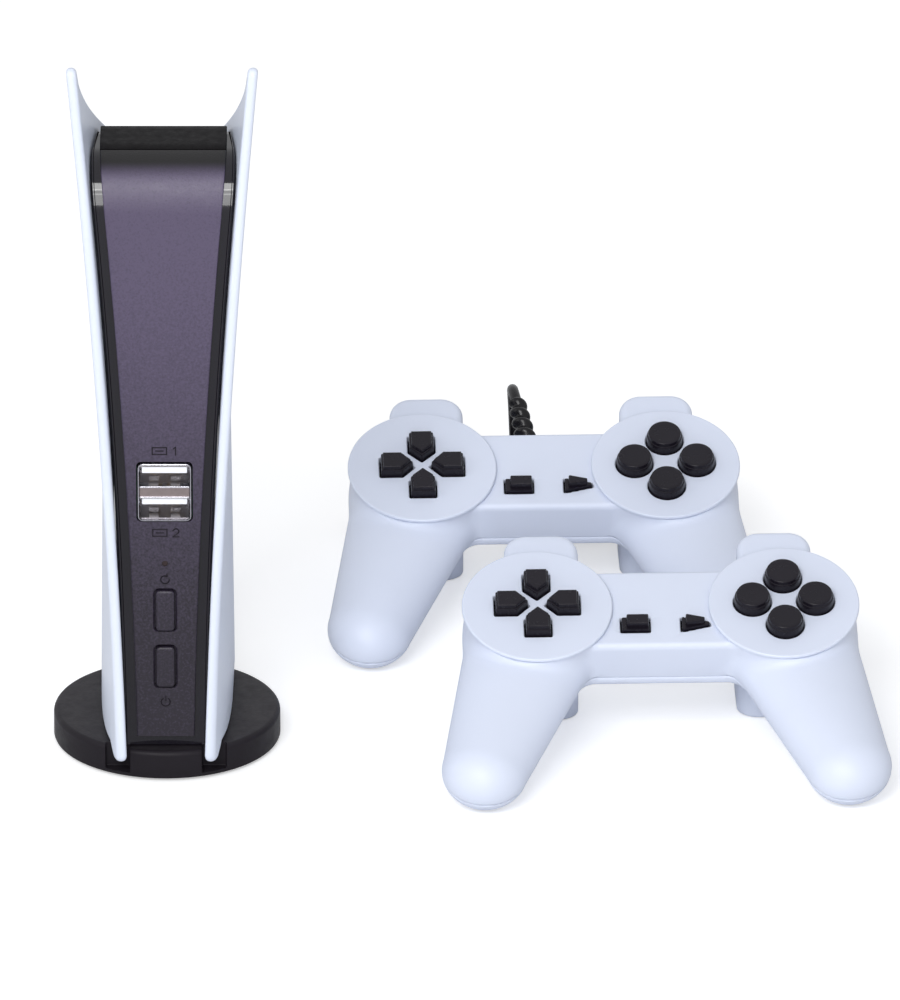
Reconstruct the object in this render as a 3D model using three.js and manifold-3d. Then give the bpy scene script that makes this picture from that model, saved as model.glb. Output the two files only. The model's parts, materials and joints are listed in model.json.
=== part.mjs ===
// Small upright game console on a round stand, with two wired controllers.
// Millimetres, +Z up. Origin: centre of the underside of the console's foot pad. The front faces -Y.
import * as THREE from 'three';
import { mergeVertices } from 'three/addons/utils/BufferGeometryUtils.js';
import Module from 'manifold-3d';

const wasm = await Module();
wasm.setup();

// ---------------------------------------------------------------- clearances and facets
const SEAT_GAP = 0.3;        // between pieces that touch
const KEY_GAP = 0.4;         // around a key in its opening
const OVERSHOOT = 3;         // how far a cutting body runs past what it cuts
const BITE = 0.1;            // how far a joined body runs into the one it grows from
const BEYOND = 200;          // half the size of a cutting block larger than any piece
const POD_SEGMENTS = { outer: 20, inner: 12 };  // facets around the controller's shells
const GRIP_SEGMENTS = { outer: 12, inner: 6 };  // outer: a multiple of four, so that an edge is lowest
const PIN_SEGMENTS = 10;     // facets around a small hidden pin or hole
const KEY_SEGMENTS = 16;     // facets around a round key and its opening

// ---------------------------------------------------------------- console: driving sizes
const CONSOLE_HEIGHT = 209;  // floor to the tips of the side panels
const STAND_RADIUS = 30.5;
const STAND_TOP = 8.6;
const STAND_EDGE = 1.4;      // rounding of the rim
const FOOT_RADIUS = 26;
const FOOT_THICKNESS = 1.2;
const FOOT_PROUD = 0.6;      // how far the foot pad stands out of the stand

const PANEL_THICKNESS = 2.8;
const PANEL_FRONT_Y = -31.5;
const PANEL_BACK_Y = 28;
const PANEL_BACK_HEIGHT = 164;
const PANEL_TOP_FALL = 0.8;  // under 1, the top edge falls fastest behind the front tip
const PANEL_TIP_Z = 2.4;     // lower front tip, down in the notch of the stand
const NOTCH_BACK_Y = -24.5;
const NOTCH_FLOOR_Z = 1.8;
const NOTCH_SIDE = 1.2;      // room beside the panel in its notch
const PANEL_FRONT_HALF = { bottom: 12.6, middle: 17.7, top: 25.2 };
const PANEL_BACK_HALF = { bottom: 18.1, middle: 16.9, top: 14.5 };
const CURL = 5;              // how sharply a panel's foot curls in at its front edge
const FLARE = 2;             // how its top keeps out before it bends in towards the back
const PEG_RADIUS = 2.2;
const PEG_HEIGHTS = [44, 135];
const PEG_Y = 4;
const PEG_REACH = 3;
const PANEL_DEPTH = PANEL_BACK_Y - PANEL_FRONT_Y;

const BODY_FRONT_Y = -26;
const BODY_BACK_Y = 26;
const PANEL_RISE = 31.7;     // from the body's top to the panels' tips
const BODY_TOP_Z = CONSOLE_HEIGHT - PANEL_RISE;
const BODY_ARC = 13;         // radius of the curve from the front into the top
const BODY_FLAT_END_Y = -2;
const BODY_BACK_DROP = 17.3;
const BODY_BACK_TOP_Z = BODY_TOP_Z - BODY_BACK_DROP;
const BODY_WALL = 1.8;

const COVER_THICKNESS = 1.2;
const COVER_BOTTOM_Z = 12;
const COVER_HALF = { bottom: 7.5, middle: 11.3, top: 19.8 };
const COVER_MARGIN = 0.8;    // the cover and the cap are at least this much narrower than the body
const COVER_SEAM_ANGLE = THREE.MathUtils.degToRad(75); // where the cover ends on the curve, above the front
const SEAM = 0.4;
const COVER_FACE_Y = BODY_FRONT_Y - SEAT_GAP - COVER_THICKNESS;

const WINDOW_HALF = 7.6;     // opening in the housing behind the cover
const WINDOW_BOTTOM_Z = 22;
const WINDOW_TOP_Z = 96;

const USB_WIDTH = 14.4;
const USB_WALL = 0.9;
const USB_MOUTH_HEIGHT = 5.9;
const USB_DIVIDER = 3.2;
const USB_DEPTH = 13;
const USB_PROUD = 0.7;
const USB_Z = 83.7;
const USB_CORNER = 0.8;
const TONGUE_THICKNESS = 1.4;
const TONGUE_SET_BACK = 0.9;
const USB_HEIGHT = 2 * (USB_MOUTH_HEIGHT + USB_WALL) + USB_DIVIDER;
const USB_FACE_Y = COVER_FACE_Y - USB_PROUD;

const LAMP_Z = 62.7;
const LAMP_RADIUS = 0.8;
const LAMP_SET_BACK = 0.2;
const BUTTON_WIDTH = 5;
const BUTTON_HEIGHT = 11.7;
const BUTTON_CORNER = 1;
const BUTTON_PROUD = 0.5;
const BUTTON_RIM = { side: 1, thickness: 1.2 }; // flange that keeps the button behind the cover
const BUTTON_TRAVEL = 1;
const RESET_Z = 48.9;
const POWER_Z = 32.4;
const BUTTON_STEM_RADIUS = 1.7;

const SWITCH_SIZE = 6;
const SWITCH_DEPTH = 3.5;
const BOARD_THICKNESS = 1.6;
const BOARD_HALF = 7.8;
const BOARD_BOTTOM_Z = 17;
const BOARD_TOP_Z = 104;
const CHIP_SIZE = 11;
const CHIP_THICKNESS = 1.4;
const CHIP_Z = 66;
const POST_RADIUS = 2.4;
const BOARD_FRONT_Y = USB_FACE_Y + USB_DEPTH + SEAT_GAP;
const SWITCH_BACK_Y = BOARD_FRONT_Y - SEAT_GAP;

const AV_JACK = { z: 34, radius: 4, bore: 1.8, flange: 1, depth: 12, boreDepth: 6, proud: 0.4 };
const POWER_JACK = { z: 51, width: 8.4, height: 3.6, corner: 1, wall: 0.5, depth: 7, proud: 0.2 };

const STAND_SCREW = { shank: 1.5, head: 3, headDepth: 2, length: 12 };
const SCREW_HEAD_Z = FOOT_THICKNESS + 2 * SEAT_GAP;

// ---------------------------------------------------------------- controller: driving sizes
// Controller frame: x to the right, y to the back, z along the face normal, z = 0 on the round faces.
const PAD_TILT = THREE.MathUtils.degToRad(22);
const PAD_YAW = THREE.MathUtils.degToRad(2);
const PAD_PLACES = { rear: { x: 101.8, y: 90.3 }, front: { x: 132.8, y: -1.5 } };
const PAD_WALL = 1.8;
const DISC_RADIUS = 20.3;
const DISC_SPACING = 66.4;
const DISC_RAISE = 1.3;      // height of the round faces above the bar
const DISC_EDGE = 0.5;       // chamfer of the round faces
const BAR_TOP = -DISC_RAISE;
const POD_STEP = 0.7;        // how far the side of the pod lies inside the round face
const POD_DEPTH = 21;
const PARTING_Z = -13.5;
const BAR = { front: -14.4, back: 13.8, depth: 17, rounding: 1.8 };
const GRIP = { out: 15.5, reach: 49.5, rootHalf: 18.8, tipHalf: 12, rootHigh: 9.9, tipHigh: 9.2,
  rootZ: -11.3, tipZ: -12 };
const COLUMN = { inward: 1.8, width: 20, front: 4, back: 29, corner: 6, top: -1.8, edge: 2, shear: 0.21 };
const COLUMN_BOTTOM = -64;   // before the table cuts it
const COLUMN_X = DISC_SPACING / 2 - COLUMN.inward;

const PCB = { top: -11, thickness: 1.4, disc: 15, halfDepth: 8.5 };
const PCB_BOTTOM = PCB.top - PCB.thickness;
const MEMBRANE = { thickness: 1, disc: 14, halfDepth: 8.2, dome: 2.4, domeHeight: 1.8 };
const MEMBRANE_TOP = PCB.top + SEAT_GAP + MEMBRANE.thickness;
const DOME_TOP = MEMBRANE_TOP + MEMBRANE.domeHeight;

const KEY_TRAVEL = 1.6;
const KEY_FLANGE = 1.2;
const ROUND_KEY = { radius: 4.95, offset: 8.5, height: 3.4, edge: 0.5, flange: 5.7, stem: 3 };
const DPAD = { tip: 2.3, outer: 11.3, half: 3.4, shoulder: 3.2, height: 3.2, plateTop: -3, plate: 1.4,
  gap: 0.5, plateOuter: 12.6, stem: 1.5, tilt: THREE.MathUtils.degToRad(3.5) };
const DPAD_BOTTOM = DPAD.plateTop - DPAD.plate;
const PIVOT = { radius: 2.2, bottom: MEMBRANE_TOP + SEAT_GAP };
const OPTION_KEY = { y: -6.6, selectX: -7, startX: 9.2, width: 7.4, depth: 4.8, corner: 0.8, step: 0.6,
  inset: 0.6, height: 2.2, travel: 1, flange: 1, stem: 1.5 };
const SHOULDER_KEY = { width: 13, corner: 2.5, flange: 0.8, proud: 2.2,
  upper: [-26.5, -16], lower: [-40.5, -30] };

const CASE_SCREW = { y: 5, shank: 1.2, head: 2.5, headDepth: 1.6, recess: 0.4, boss: 3.2, footBoss: 4,
  length: 11 };
const CASE_HEAD_Z = CASE_SCREW.recess - BAR.depth;
const CASE_SHANK_Z = CASE_HEAD_Z + CASE_SCREW.headDepth;
const BOARD_POST_RADIUS = 2;
const BOARD_POSTS = [{ x: DISC_SPACING / 2, y: -9, floor: -POD_DEPTH }, { x: 11, y: 6, floor: -BAR.depth }];

// ---------------------------------------------------------------- cord: driving sizes
const CORD_DIAMETER = 3;
const RELIEF = { x: -3.8, z: -7.2, lean: THREE.MathUtils.degToRad(8), base: 3.1, end: 2.5, length: 15, hole: 2.9,
  flange: 3.6, flangeDepth: 1.4 };
const INLET_RADIUS = 3.6;    // the bare inlet of the controller that has no cord
const CORD_ROUTE = [         // from the strain relief over and down to the top of the coil
  [94.8, 119.6, 43.4], [94.1, 123.4, 44.8], [93.5, 127.1, 45.3], [93.3, 130.7, 44], [93.4, 133.8, 41.2],
  [93.6, 136.1, 36.8], [93.8, 137.7, 31.3], [94, 139.5, 25.3], [94.1, 142.3, 20.2], [94.25, 146, 17],
  [94.6, 149.8, 15.2], [95.15, 153.4, 14.2],
];
const LEAD_ROUTE = [         // from the bottom of the coil to the plug
  [95.15, 133.6, 1.6], [91.95, 134.7, 1.9], [88.75, 135.7, 2.7], [85.95, 136.2, 3.7], [83.95, 136.3, 4],
];
const COIL = { x: 112.8, y: 147.2, middle: 15.75, wide: 3, high: 4 };
const PLUG = { bodyLength: 21, bodyWidth: 15.6, bodyHeight: 8, corner: 1.8, nose: 2.4, noseLength: 5.25,
  shellLength: 12, shellWidth: 12, shellHeight: 4.5, shellWall: 0.35, shellCorner: 0.6, shellFloor: 2 };

// ---------------------------------------------------------------- materials
function finish(color, roughness, metalness = 0) {
  return new THREE.MeshStandardMaterial({ color, roughness, metalness });
}
const WHITE_PLASTIC = finish(0xd5dcee, 0.42);
const COVER_PLASTIC = finish(0x4a434d, 0.5);
const GLOSS_BLACK = finish(0x121114, 0.12);
const STAND_PLASTIC = finish(0x252023, 0.35);
const BLACK_KEY = finish(0x17161a, 0.35);
const RUBBER = finish(0x1a1a1b, 0.85);
const STEEL = finish(0xc2c4c8, 0.25, 1);
const BOARD_GREEN = finish(0x1f5a35, 0.5);
const WHITE_INSULATOR = finish(0xe9e9ea, 0.5);
const CHIP_BLACK = finish(0x19191b, 0.6);
const LAMP_CLEAR = finish(0x6a1614, 0.2);

// ---------------------------------------------------------------- solids
function solidOf(geometry) {
  const bare = geometry.index ? geometry.clone() : geometry;
  bare.deleteAttribute('normal');
  bare.deleteAttribute('uv');
  const merged = mergeVertices(bare, 1e-4);
  return new wasm.Manifold(new wasm.Mesh({
    numProp: 3,
    vertProperties: new Float32Array(merged.attributes.position.array),
    triVerts: new Uint32Array(merged.index.array),
  }));
}

function geometryOf(solid) {
  const mesh = solid.getMesh();
  const geometry = new THREE.BufferGeometry();
  geometry.setAttribute('position', new THREE.BufferAttribute(new Float32Array(mesh.vertProperties), 3));
  geometry.setIndex(new THREE.BufferAttribute(new Uint32Array(mesh.triVerts), 1));
  return geometry;
}

function join(solids) {
  return solids.reduce((sum, solid) => sum.add(solid));
}

function cut(solid, tools) {
  return tools.reduce((rest, tool) => rest.subtract(tool), solid);
}

function box(x0, x1, y0, y1, z0, z1) {
  const geometry = new THREE.BoxGeometry(x1 - x0, y1 - y0, z1 - z0);
  return solidOf(geometry.translate((x0 + x1) / 2, (y0 + y1) / 2, (z0 + z1) / 2));
}

function roundedRectangle(x0, x1, y0, y1, radius) {
  const shape = new THREE.Shape();
  shape.moveTo(x1, y0 + radius);
  shape.absarc(x1 - radius, y1 - radius, radius, 0, Math.PI / 2);
  shape.absarc(x0 + radius, y1 - radius, radius, Math.PI / 2, Math.PI);
  shape.absarc(x0 + radius, y0 + radius, radius, Math.PI, Math.PI * 1.5);
  shape.absarc(x1 - radius, y0 + radius, radius, Math.PI * 1.5, Math.PI * 2);
  return shape;
}

// An outline drawn in the xy, yz or xz plane, pushed from start to end along the third axis.
function push(shape, start, end, plane = 'xy', steps = 4) {
  const depth = end - start;
  const geometry = new THREE.ExtrudeGeometry(shape, { depth, bevelEnabled: false, curveSegments: steps });
  const [x, y, z] = [[1, 0, 0], [0, 1, 0], [0, 0, 1]].map((axis) => new THREE.Vector3(...axis));
  geometry.translate(0, 0, plane === 'xz' ? -end : start);
  if (plane === 'yz') geometry.applyMatrix4(new THREE.Matrix4().makeBasis(y, z, x));
  if (plane === 'xz') geometry.applyMatrix4(new THREE.Matrix4().makeBasis(x, z, y.negate()));
  return solidOf(geometry);
}

// A round pin along z, y or x.
function pin(radius, start, end, { x = 0, y = 0, z = 0, along = 'z', segments = 24 } = {}) {
  const geometry = new THREE.CylinderGeometry(radius, radius, end - start, segments);
  geometry.translate(0, (start + end) / 2, 0);
  if (along === 'z') geometry.rotateX(Math.PI / 2);
  if (along === 'x') geometry.rotateZ(-Math.PI / 2);
  return solidOf(geometry.translate(x, y, z));
}

// A profile of [radius, height] points turned about z.
function turned(points, segments = 32) {
  const profile = points.map(([radius, height]) => new THREE.Vector2(radius, height));
  return new THREE.LatheGeometry(profile, segments).rotateX(Math.PI / 2);
}

// The solid between two curved walls x = outer(y, z) and x = inner(y, z).
function wallSolid(outer, inner, ys, lowest, highest, steps) {
  const rows = steps + 1;
  const positions = [];
  for (const wall of [outer, inner]) {
    for (const y of ys) {
      for (let j = 0; j < rows; j += 1) {
        const z = lowest(y) + (highest(y) - lowest(y)) * (j / steps);
        positions.push(wall(y, z), y, z);
      }
    }
  }
  const index = [];
  const at = (wall, i, j) => (wall * ys.length + i) * rows + j;
  const quad = (a, b, c, d) => index.push(a, b, c, a, c, d);
  for (let i = 0; i < ys.length - 1; i += 1) {
    for (let j = 0; j < steps; j += 1) {
      quad(at(0, i, j), at(0, i + 1, j), at(0, i + 1, j + 1), at(0, i, j + 1));
      quad(at(1, i, j), at(1, i, j + 1), at(1, i + 1, j + 1), at(1, i + 1, j));
    }
    quad(at(0, i, 0), at(1, i, 0), at(1, i + 1, 0), at(0, i + 1, 0));
    quad(at(0, i, steps), at(0, i + 1, steps), at(1, i + 1, steps), at(1, i, steps));
  }
  const last = ys.length - 1;
  for (let j = 0; j < steps; j += 1) {
    quad(at(0, 0, j), at(0, 0, j + 1), at(1, 0, j + 1), at(1, 0, j));
    quad(at(0, last, j), at(1, last, j), at(1, last, j + 1), at(0, last, j + 1));
  }
  const geometry = new THREE.BufferGeometry();
  geometry.setAttribute('position', new THREE.Float32BufferAttribute(positions, 3));
  geometry.setIndex(index);
  return solidOf(geometry);
}

// Rings of equal length skinned in order, closed by a flat start and a pointed end.
function ringSolid(rings, apex) {
  const count = rings[0].length;
  const positions = rings.flat().concat([centreOf(rings[0]), apex]).flatMap((p) => [p.x, p.y, p.z]);
  const start = rings.length * count;
  const index = [];
  for (let k = 0; k < count; k += 1) {
    const next = (k + 1) % count;
    for (let r = 0; r < rings.length - 1; r += 1) {
      const a = r * count;
      const b = a + count;
      index.push(a + k, a + next, b + next, a + k, b + next, b + k);
    }
    const tail = (rings.length - 1) * count;
    index.push(start, next, k, start + 1, tail + k, tail + next);
  }
  const geometry = new THREE.BufferGeometry();
  geometry.setAttribute('position', new THREE.Float32BufferAttribute(positions, 3));
  geometry.setIndex(index);
  return solidOf(geometry);
}

function centreOf(ring) {
  return ring.reduce((sum, p) => sum.add(p), new THREE.Vector3()).divideScalar(ring.length);
}

// The same solid on the other side of the plane x = 0.
function mirrored(solid) {
  const mesh = solid.getMesh();
  const swap = [1, 0, 2];
  const vertProperties = mesh.vertProperties.map((value, i) => (i % 3 === 0 ? -value : value));
  const triVerts = mesh.triVerts.map((_, i, corners) => corners[i - (i % 3) + swap[i % 3]]);
  return new wasm.Manifold(new wasm.Mesh({ numProp: 3, vertProperties, triVerts }));
}

function moved(solid, matrix) {
  return solidOf(geometryOf(solid).applyMatrix4(matrix));
}

function piece(name, solid, material) {
  const mesh = new THREE.Mesh(geometryOf(solid), material);
  mesh.name = name;
  return mesh;
}

// ---------------------------------------------------------------- console: outlines
// A smooth value at height z through a bottom, a middle and a top value.
function bow(values, z) {
  const t = z / CONSOLE_HEIGHT;
  return values.bottom * (1 - t) * (1 - 2 * t) + values.middle * 4 * t * (1 - t)
    + values.top * t * (2 * t - 1);
}

// How far back a place on a side panel is, from 0 at its front edge to 1 at its back edge.
const panelShare = (y) => Math.min(1, Math.max(0, (y - PANEL_FRONT_Y) / PANEL_DEPTH));

// Distance from the middle plane to the outer face of a side panel.
function panelHalf(y, z) {
  const share = panelShare(y);
  const low = (1 - z / CONSOLE_HEIGHT) ** 2;
  const bend = low * (1 - (1 - share) ** CURL) + (1 - low) * share ** FLARE;
  const front = bow(PANEL_FRONT_HALF, z);
  const back = bow(PANEL_BACK_HALF, z);
  return front + (back - front) * bend;
}

const bodyHalf = (inset) => (y, z) => panelHalf(y, z) - PANEL_THICKNESS - SEAT_GAP - inset;
const bodyBottom = (inset) => STAND_TOP + SEAT_GAP + inset;
const ARC_CENTRE = { y: BODY_FRONT_Y + BODY_ARC, z: BODY_TOP_Z - BODY_ARC };

// Side outline of the body (y, z), grown outwards by a distance.
function bodyOutline(grow) {
  const slope = Math.atan2(BODY_TOP_Z - BODY_BACK_TOP_Z, BODY_BACK_Y - BODY_FLAT_END_Y);
  const flatEnd = BODY_FLAT_END_Y + grow * Math.tan(slope / 2);
  const back = BODY_BACK_Y + grow;
  const top = BODY_TOP_Z + grow;
  const shape = new THREE.Shape();
  shape.moveTo(back, bodyBottom(-grow));
  shape.lineTo(back, top - (back - flatEnd) * Math.tan(slope));
  shape.lineTo(flatEnd, top);
  shape.absarc(ARC_CENTRE.y, ARC_CENTRE.z, BODY_ARC + grow, Math.PI / 2, Math.PI);
  shape.lineTo(BODY_FRONT_Y - grow, bodyBottom(-grow));
  return shape;
}

// A solid as wide as half(y, z) on both sides, over the depth and height of the body.
function bodyPlan(half) {
  const ys = [0, 0.13, 0.35, 0.65, 1].map((t) =>
    BODY_FRONT_Y - OVERSHOOT + t * (BODY_BACK_Y - BODY_FRONT_Y + 2 * OVERSHOOT));
  return wallSolid(half, (y, z) => -half(y, z), ys, () => 0, () => BODY_TOP_Z + OVERSHOOT, 8);
}

// The side outline of the body, grown outwards by a distance, as a wide block.
const bodyProfile = (grow) => push(bodyOutline(grow), -BEYOND, BEYOND, 'yz', 6);

const bodySolid = (inset) => bodyPlan(bodyHalf(inset)).intersect(bodyProfile(-inset));

// ---------------------------------------------------------------- console: pieces
function sidePanel() {
  const ys = [0, 0.05, panelShare(NOTCH_BACK_Y), 0.25, 0.45, 0.7, 1].map((share) =>
    PANEL_FRONT_Y + share * PANEL_DEPTH);
  const rest = STAND_TOP + SEAT_GAP;
  const lowest = (y) => {
    const rise = Math.min(1, (y - PANEL_FRONT_Y) / (NOTCH_BACK_Y - PANEL_FRONT_Y));
    return PANEL_TIP_Z + (rest - PANEL_TIP_Z) * rise;
  };
  const highest = (y) => CONSOLE_HEIGHT
    + (PANEL_BACK_HEIGHT - CONSOLE_HEIGHT) * panelShare(y) ** PANEL_TOP_FALL;
  const plate = wallSolid(panelHalf, (y, z) => panelHalf(y, z) - PANEL_THICKNESS, ys, lowest, highest, 10);
  const pegs = PEG_HEIGHTS.map((z) => {
    const root = panelHalf(PEG_Y, z) - PANEL_THICKNESS / 2;
    return pin(PEG_RADIUS, root - PEG_REACH - PANEL_THICKNESS / 2, root,
      { y: PEG_Y, z, along: 'x', segments: PIN_SEGMENTS });
  });
  return join([plate, ...pegs]);
}

function rearHousing() {
  const shell = bodySolid(0).subtract(bodySolid(BODY_WALL));
  const wallBack = BODY_FRONT_Y + BODY_WALL;
  const screwEnd = SCREW_HEAD_Z + STAND_SCREW.headDepth + STAND_SCREW.length + SEAT_GAP;
  const segments = PIN_SEGMENTS;
  const boss = pin(STAND_SCREW.shank + BODY_WALL, bodyBottom(0), screwEnd + BODY_WALL, { segments });
  const posts = [BOARD_BOTTOM_Z + POST_RADIUS, BOARD_TOP_Z - POST_RADIUS].map((z) =>
    pin(POST_RADIUS, wallBack - BODY_WALL / 2, BOARD_FRONT_Y - SEAT_GAP, { z, along: 'y', segments }));
  const window = box(-WINDOW_HALF, WINDOW_HALF, BODY_FRONT_Y - OVERSHOOT, wallBack + BITE,
    WINDOW_BOTTOM_Z, WINDOW_TOP_Z);
  const screwHole = pin(STAND_SCREW.shank + SEAT_GAP, 0, screwEnd, { segments });
  const pegHoles = PEG_HEIGHTS.map((z) =>
    pin(PEG_RADIUS + SEAT_GAP, -BEYOND, BEYOND, { y: PEG_Y, z, along: 'x', segments }));
  const avHole = pin(AV_JACK.radius + SEAT_GAP, 0, BODY_BACK_Y + OVERSHOOT,
    { z: AV_JACK.z, along: 'y', segments: KEY_SEGMENTS });
  const powerHole = jackOutline(SEAT_GAP, BODY_BACK_Y - BODY_WALL - OVERSHOOT, BODY_BACK_Y + OVERSHOOT);
  return cut(join([shell, boss, ...posts]), [window, screwHole, ...pegHoles, avHole, powerHole]);
}

function jackOutline(grow, start, end) {
  const { z, width, height, corner } = POWER_JACK;
  const halfWidth = width / 2 + grow;
  const halfHeight = height / 2 + grow;
  return push(roundedRectangle(-halfWidth, halfWidth, z - halfHeight, z + halfHeight, corner),
    start, end, 'xz', 3);
}

// The plan between the edges of the front cover and the cap, which stay inside the body's sides.
function coverPlan() {
  return bodyPlan((y, z) => Math.min(bow(COVER_HALF, z), bodyHalf(COVER_MARGIN)(y, z)));
}

// The skin that lies on the body, as far as the cover and the cap reach.
function coverSkin() {
  const skin = bodyProfile(SEAT_GAP + COVER_THICKNESS).subtract(bodyProfile(SEAT_GAP));
  return skin.intersect(coverPlan());
}

// Everything in front of the seam, moved back by a distance along the curve.
function aheadOfSeam(gap) {
  const angle = Math.PI - COVER_SEAM_ANGLE;
  const across = { y: Math.sin(angle), z: -Math.cos(angle) };
  const ray = (length) => [
    ARC_CENTRE.y + Math.cos(angle) * length + across.y * gap,
    ARC_CENTRE.z + Math.sin(angle) * length + across.z * gap];
  const shape = new THREE.Shape();
  shape.moveTo(...ray(0));
  shape.lineTo(...ray(CONSOLE_HEIGHT));
  shape.lineTo(-BEYOND, ray(CONSOLE_HEIGHT)[1]);
  shape.lineTo(-BEYOND, COVER_BOTTOM_Z);
  shape.lineTo(ray(0)[0], COVER_BOTTOM_Z);
  return push(shape, -BEYOND, BEYOND, 'yz');
}

function buttonHole(z, grow) {
  const halfWidth = BUTTON_WIDTH / 2 + grow;
  const halfHeight = BUTTON_HEIGHT / 2 + grow;
  return roundedRectangle(-halfWidth, halfWidth, z - halfHeight, z + halfHeight, BUTTON_CORNER);
}

function frontCover() {
  const usb = box(-USB_WIDTH / 2 - SEAT_GAP, USB_WIDTH / 2 + SEAT_GAP, COVER_FACE_Y - OVERSHOOT, BODY_FRONT_Y,
    USB_Z - USB_HEIGHT / 2 - SEAT_GAP, USB_Z + USB_HEIGHT / 2 + SEAT_GAP);
  const holes = [RESET_Z, POWER_Z].map((z) =>
    push(buttonHole(z, KEY_GAP), COVER_FACE_Y - OVERSHOOT, BODY_FRONT_Y, 'xz', 3));
  const lamp = pin(LAMP_RADIUS + SEAT_GAP, COVER_FACE_Y - OVERSHOOT, BODY_FRONT_Y,
    { z: LAMP_Z, along: 'y', segments: PIN_SEGMENTS });
  return cut(coverSkin().intersect(aheadOfSeam(0)), [usb, lamp, ...holes]);
}

function topCap() {
  const behind = box(-BEYOND, BEYOND, BODY_FRONT_Y, BODY_BACK_Y - SEAT_GAP,
    BODY_BACK_TOP_Z - BODY_ARC, CONSOLE_HEIGHT);
  return coverSkin().intersect(behind).subtract(aheadOfSeam(SEAM));
}

function standDisc() {
  const recess = FOOT_THICKNESS - FOOT_PROUD;
  const edge = Array.from({ length: 4 }, (_, i) => {
    const angle = (i / 3) * (Math.PI / 2);
    return [STAND_RADIUS - STAND_EDGE * (1 - Math.cos(angle)),
      STAND_TOP - STAND_EDGE * (1 - Math.sin(angle))];
  });
  const floor = FOOT_THICKNESS + SEAT_GAP;
  const disc = solidOf(turned([
    [0, floor], [FOOT_RADIUS + SEAT_GAP, floor], [FOOT_RADIUS + SEAT_GAP, FOOT_PROUD],
    [STAND_RADIUS - recess, FOOT_PROUD], [STAND_RADIUS, FOOT_THICKNESS], ...edge, [0, STAND_TOP]], 40));
  const outer = panelHalf(NOTCH_BACK_Y, STAND_TOP) + NOTCH_SIDE;
  const inner = panelHalf(PANEL_FRONT_Y, PANEL_TIP_Z) - PANEL_THICKNESS - SEAT_GAP;
  const notch = box(inner, outer, -STAND_RADIUS - OVERSHOOT, NOTCH_BACK_Y + 2 * SEAT_GAP,
    NOTCH_FLOOR_Z, STAND_TOP + OVERSHOOT);
  const screwHole = pin(STAND_SCREW.shank + SEAT_GAP, 0, STAND_TOP + OVERSHOOT, { segments: PIN_SEGMENTS });
  const headHole = pin(STAND_SCREW.head + SEAT_GAP, 0, SCREW_HEAD_Z + STAND_SCREW.headDepth + SEAT_GAP,
    { segments: PIN_SEGMENTS });
  return cut(disc, [notch, mirrored(notch), screwHole, headHole]);
}

function footPad() {
  return pin(FOOT_RADIUS, 0, FOOT_THICKNESS, { segments: 36 });
}

function standScrew() {
  const top = SCREW_HEAD_Z + STAND_SCREW.headDepth;
  return pin(STAND_SCREW.head, SCREW_HEAD_Z, top, { segments: PIN_SEGMENTS })
    .add(pin(STAND_SCREW.shank, top - BITE, top + STAND_SCREW.length, { segments: PIN_SEGMENTS }));
}

function mainBoard() {
  return box(-BOARD_HALF, BOARD_HALF, BOARD_FRONT_Y, BOARD_FRONT_Y + BOARD_THICKNESS,
    BOARD_BOTTOM_Z, BOARD_TOP_Z);
}

function mainChip() {
  const start = BOARD_FRONT_Y + BOARD_THICKNESS + SEAT_GAP;
  const half = CHIP_SIZE / 2;
  return box(-half, half, start, start + CHIP_THICKNESS, CHIP_Z - half, CHIP_Z + half);
}

// Floor of the lower (0) or upper (1) USB mouth.
const usbMouthFloor = (storey) =>
  USB_Z - USB_HEIGHT / 2 + USB_WALL + storey * (USB_MOUTH_HEIGHT + USB_DIVIDER);

function usbShell() {
  const half = USB_WIDTH / 2;
  const outline = roundedRectangle(-half, half, USB_Z - USB_HEIGHT / 2, USB_Z + USB_HEIGHT / 2, USB_CORNER);
  const block = push(outline, USB_FACE_Y, USB_FACE_Y + USB_DEPTH, 'xz', 3);
  const mouths = [0, 1].map((storey) => {
    const floor = usbMouthFloor(storey);
    return box(USB_WALL - half, half - USB_WALL, USB_FACE_Y - OVERSHOOT, USB_FACE_Y + USB_DEPTH - USB_WALL,
      floor, floor + USB_MOUTH_HEIGHT);
  });
  return cut(block, mouths);
}

function usbTongue(storey) {
  const top = usbMouthFloor(storey) + USB_MOUTH_HEIGHT - SEAT_GAP;
  const half = USB_WIDTH / 2 - USB_WALL - SEAT_GAP;
  return box(-half, half, USB_FACE_Y + TONGUE_SET_BACK, USB_FACE_Y + USB_DEPTH - USB_WALL - SEAT_GAP,
    top - TONGUE_THICKNESS, top);
}

function consoleButton(z) {
  const rimBack = BODY_FRONT_Y + BUTTON_RIM.thickness;
  const head = push(buttonHole(z, 0), COVER_FACE_Y - BUTTON_PROUD, BODY_FRONT_Y + BITE, 'xz', 3);
  const rim = push(buttonHole(z, BUTTON_RIM.side), BODY_FRONT_Y, rimBack, 'xz', 3);
  const stemEnd = SWITCH_BACK_Y - SWITCH_DEPTH - BUTTON_TRAVEL - SEAT_GAP;
  const stem = pin(BUTTON_STEM_RADIUS, rimBack - BITE, stemEnd, { z, along: 'y', segments: PIN_SEGMENTS });
  return join([head, rim, stem]);
}

function buttonSwitch(z) {
  const half = SWITCH_SIZE / 2;
  return box(-half, half, SWITCH_BACK_Y - SWITCH_DEPTH, SWITCH_BACK_Y, z - half, z + half);
}

function powerLamp() {
  return pin(LAMP_RADIUS, COVER_FACE_Y + LAMP_SET_BACK, SWITCH_BACK_Y,
    { z: LAMP_Z, along: 'y', segments: PIN_SEGMENTS });
}

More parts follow.
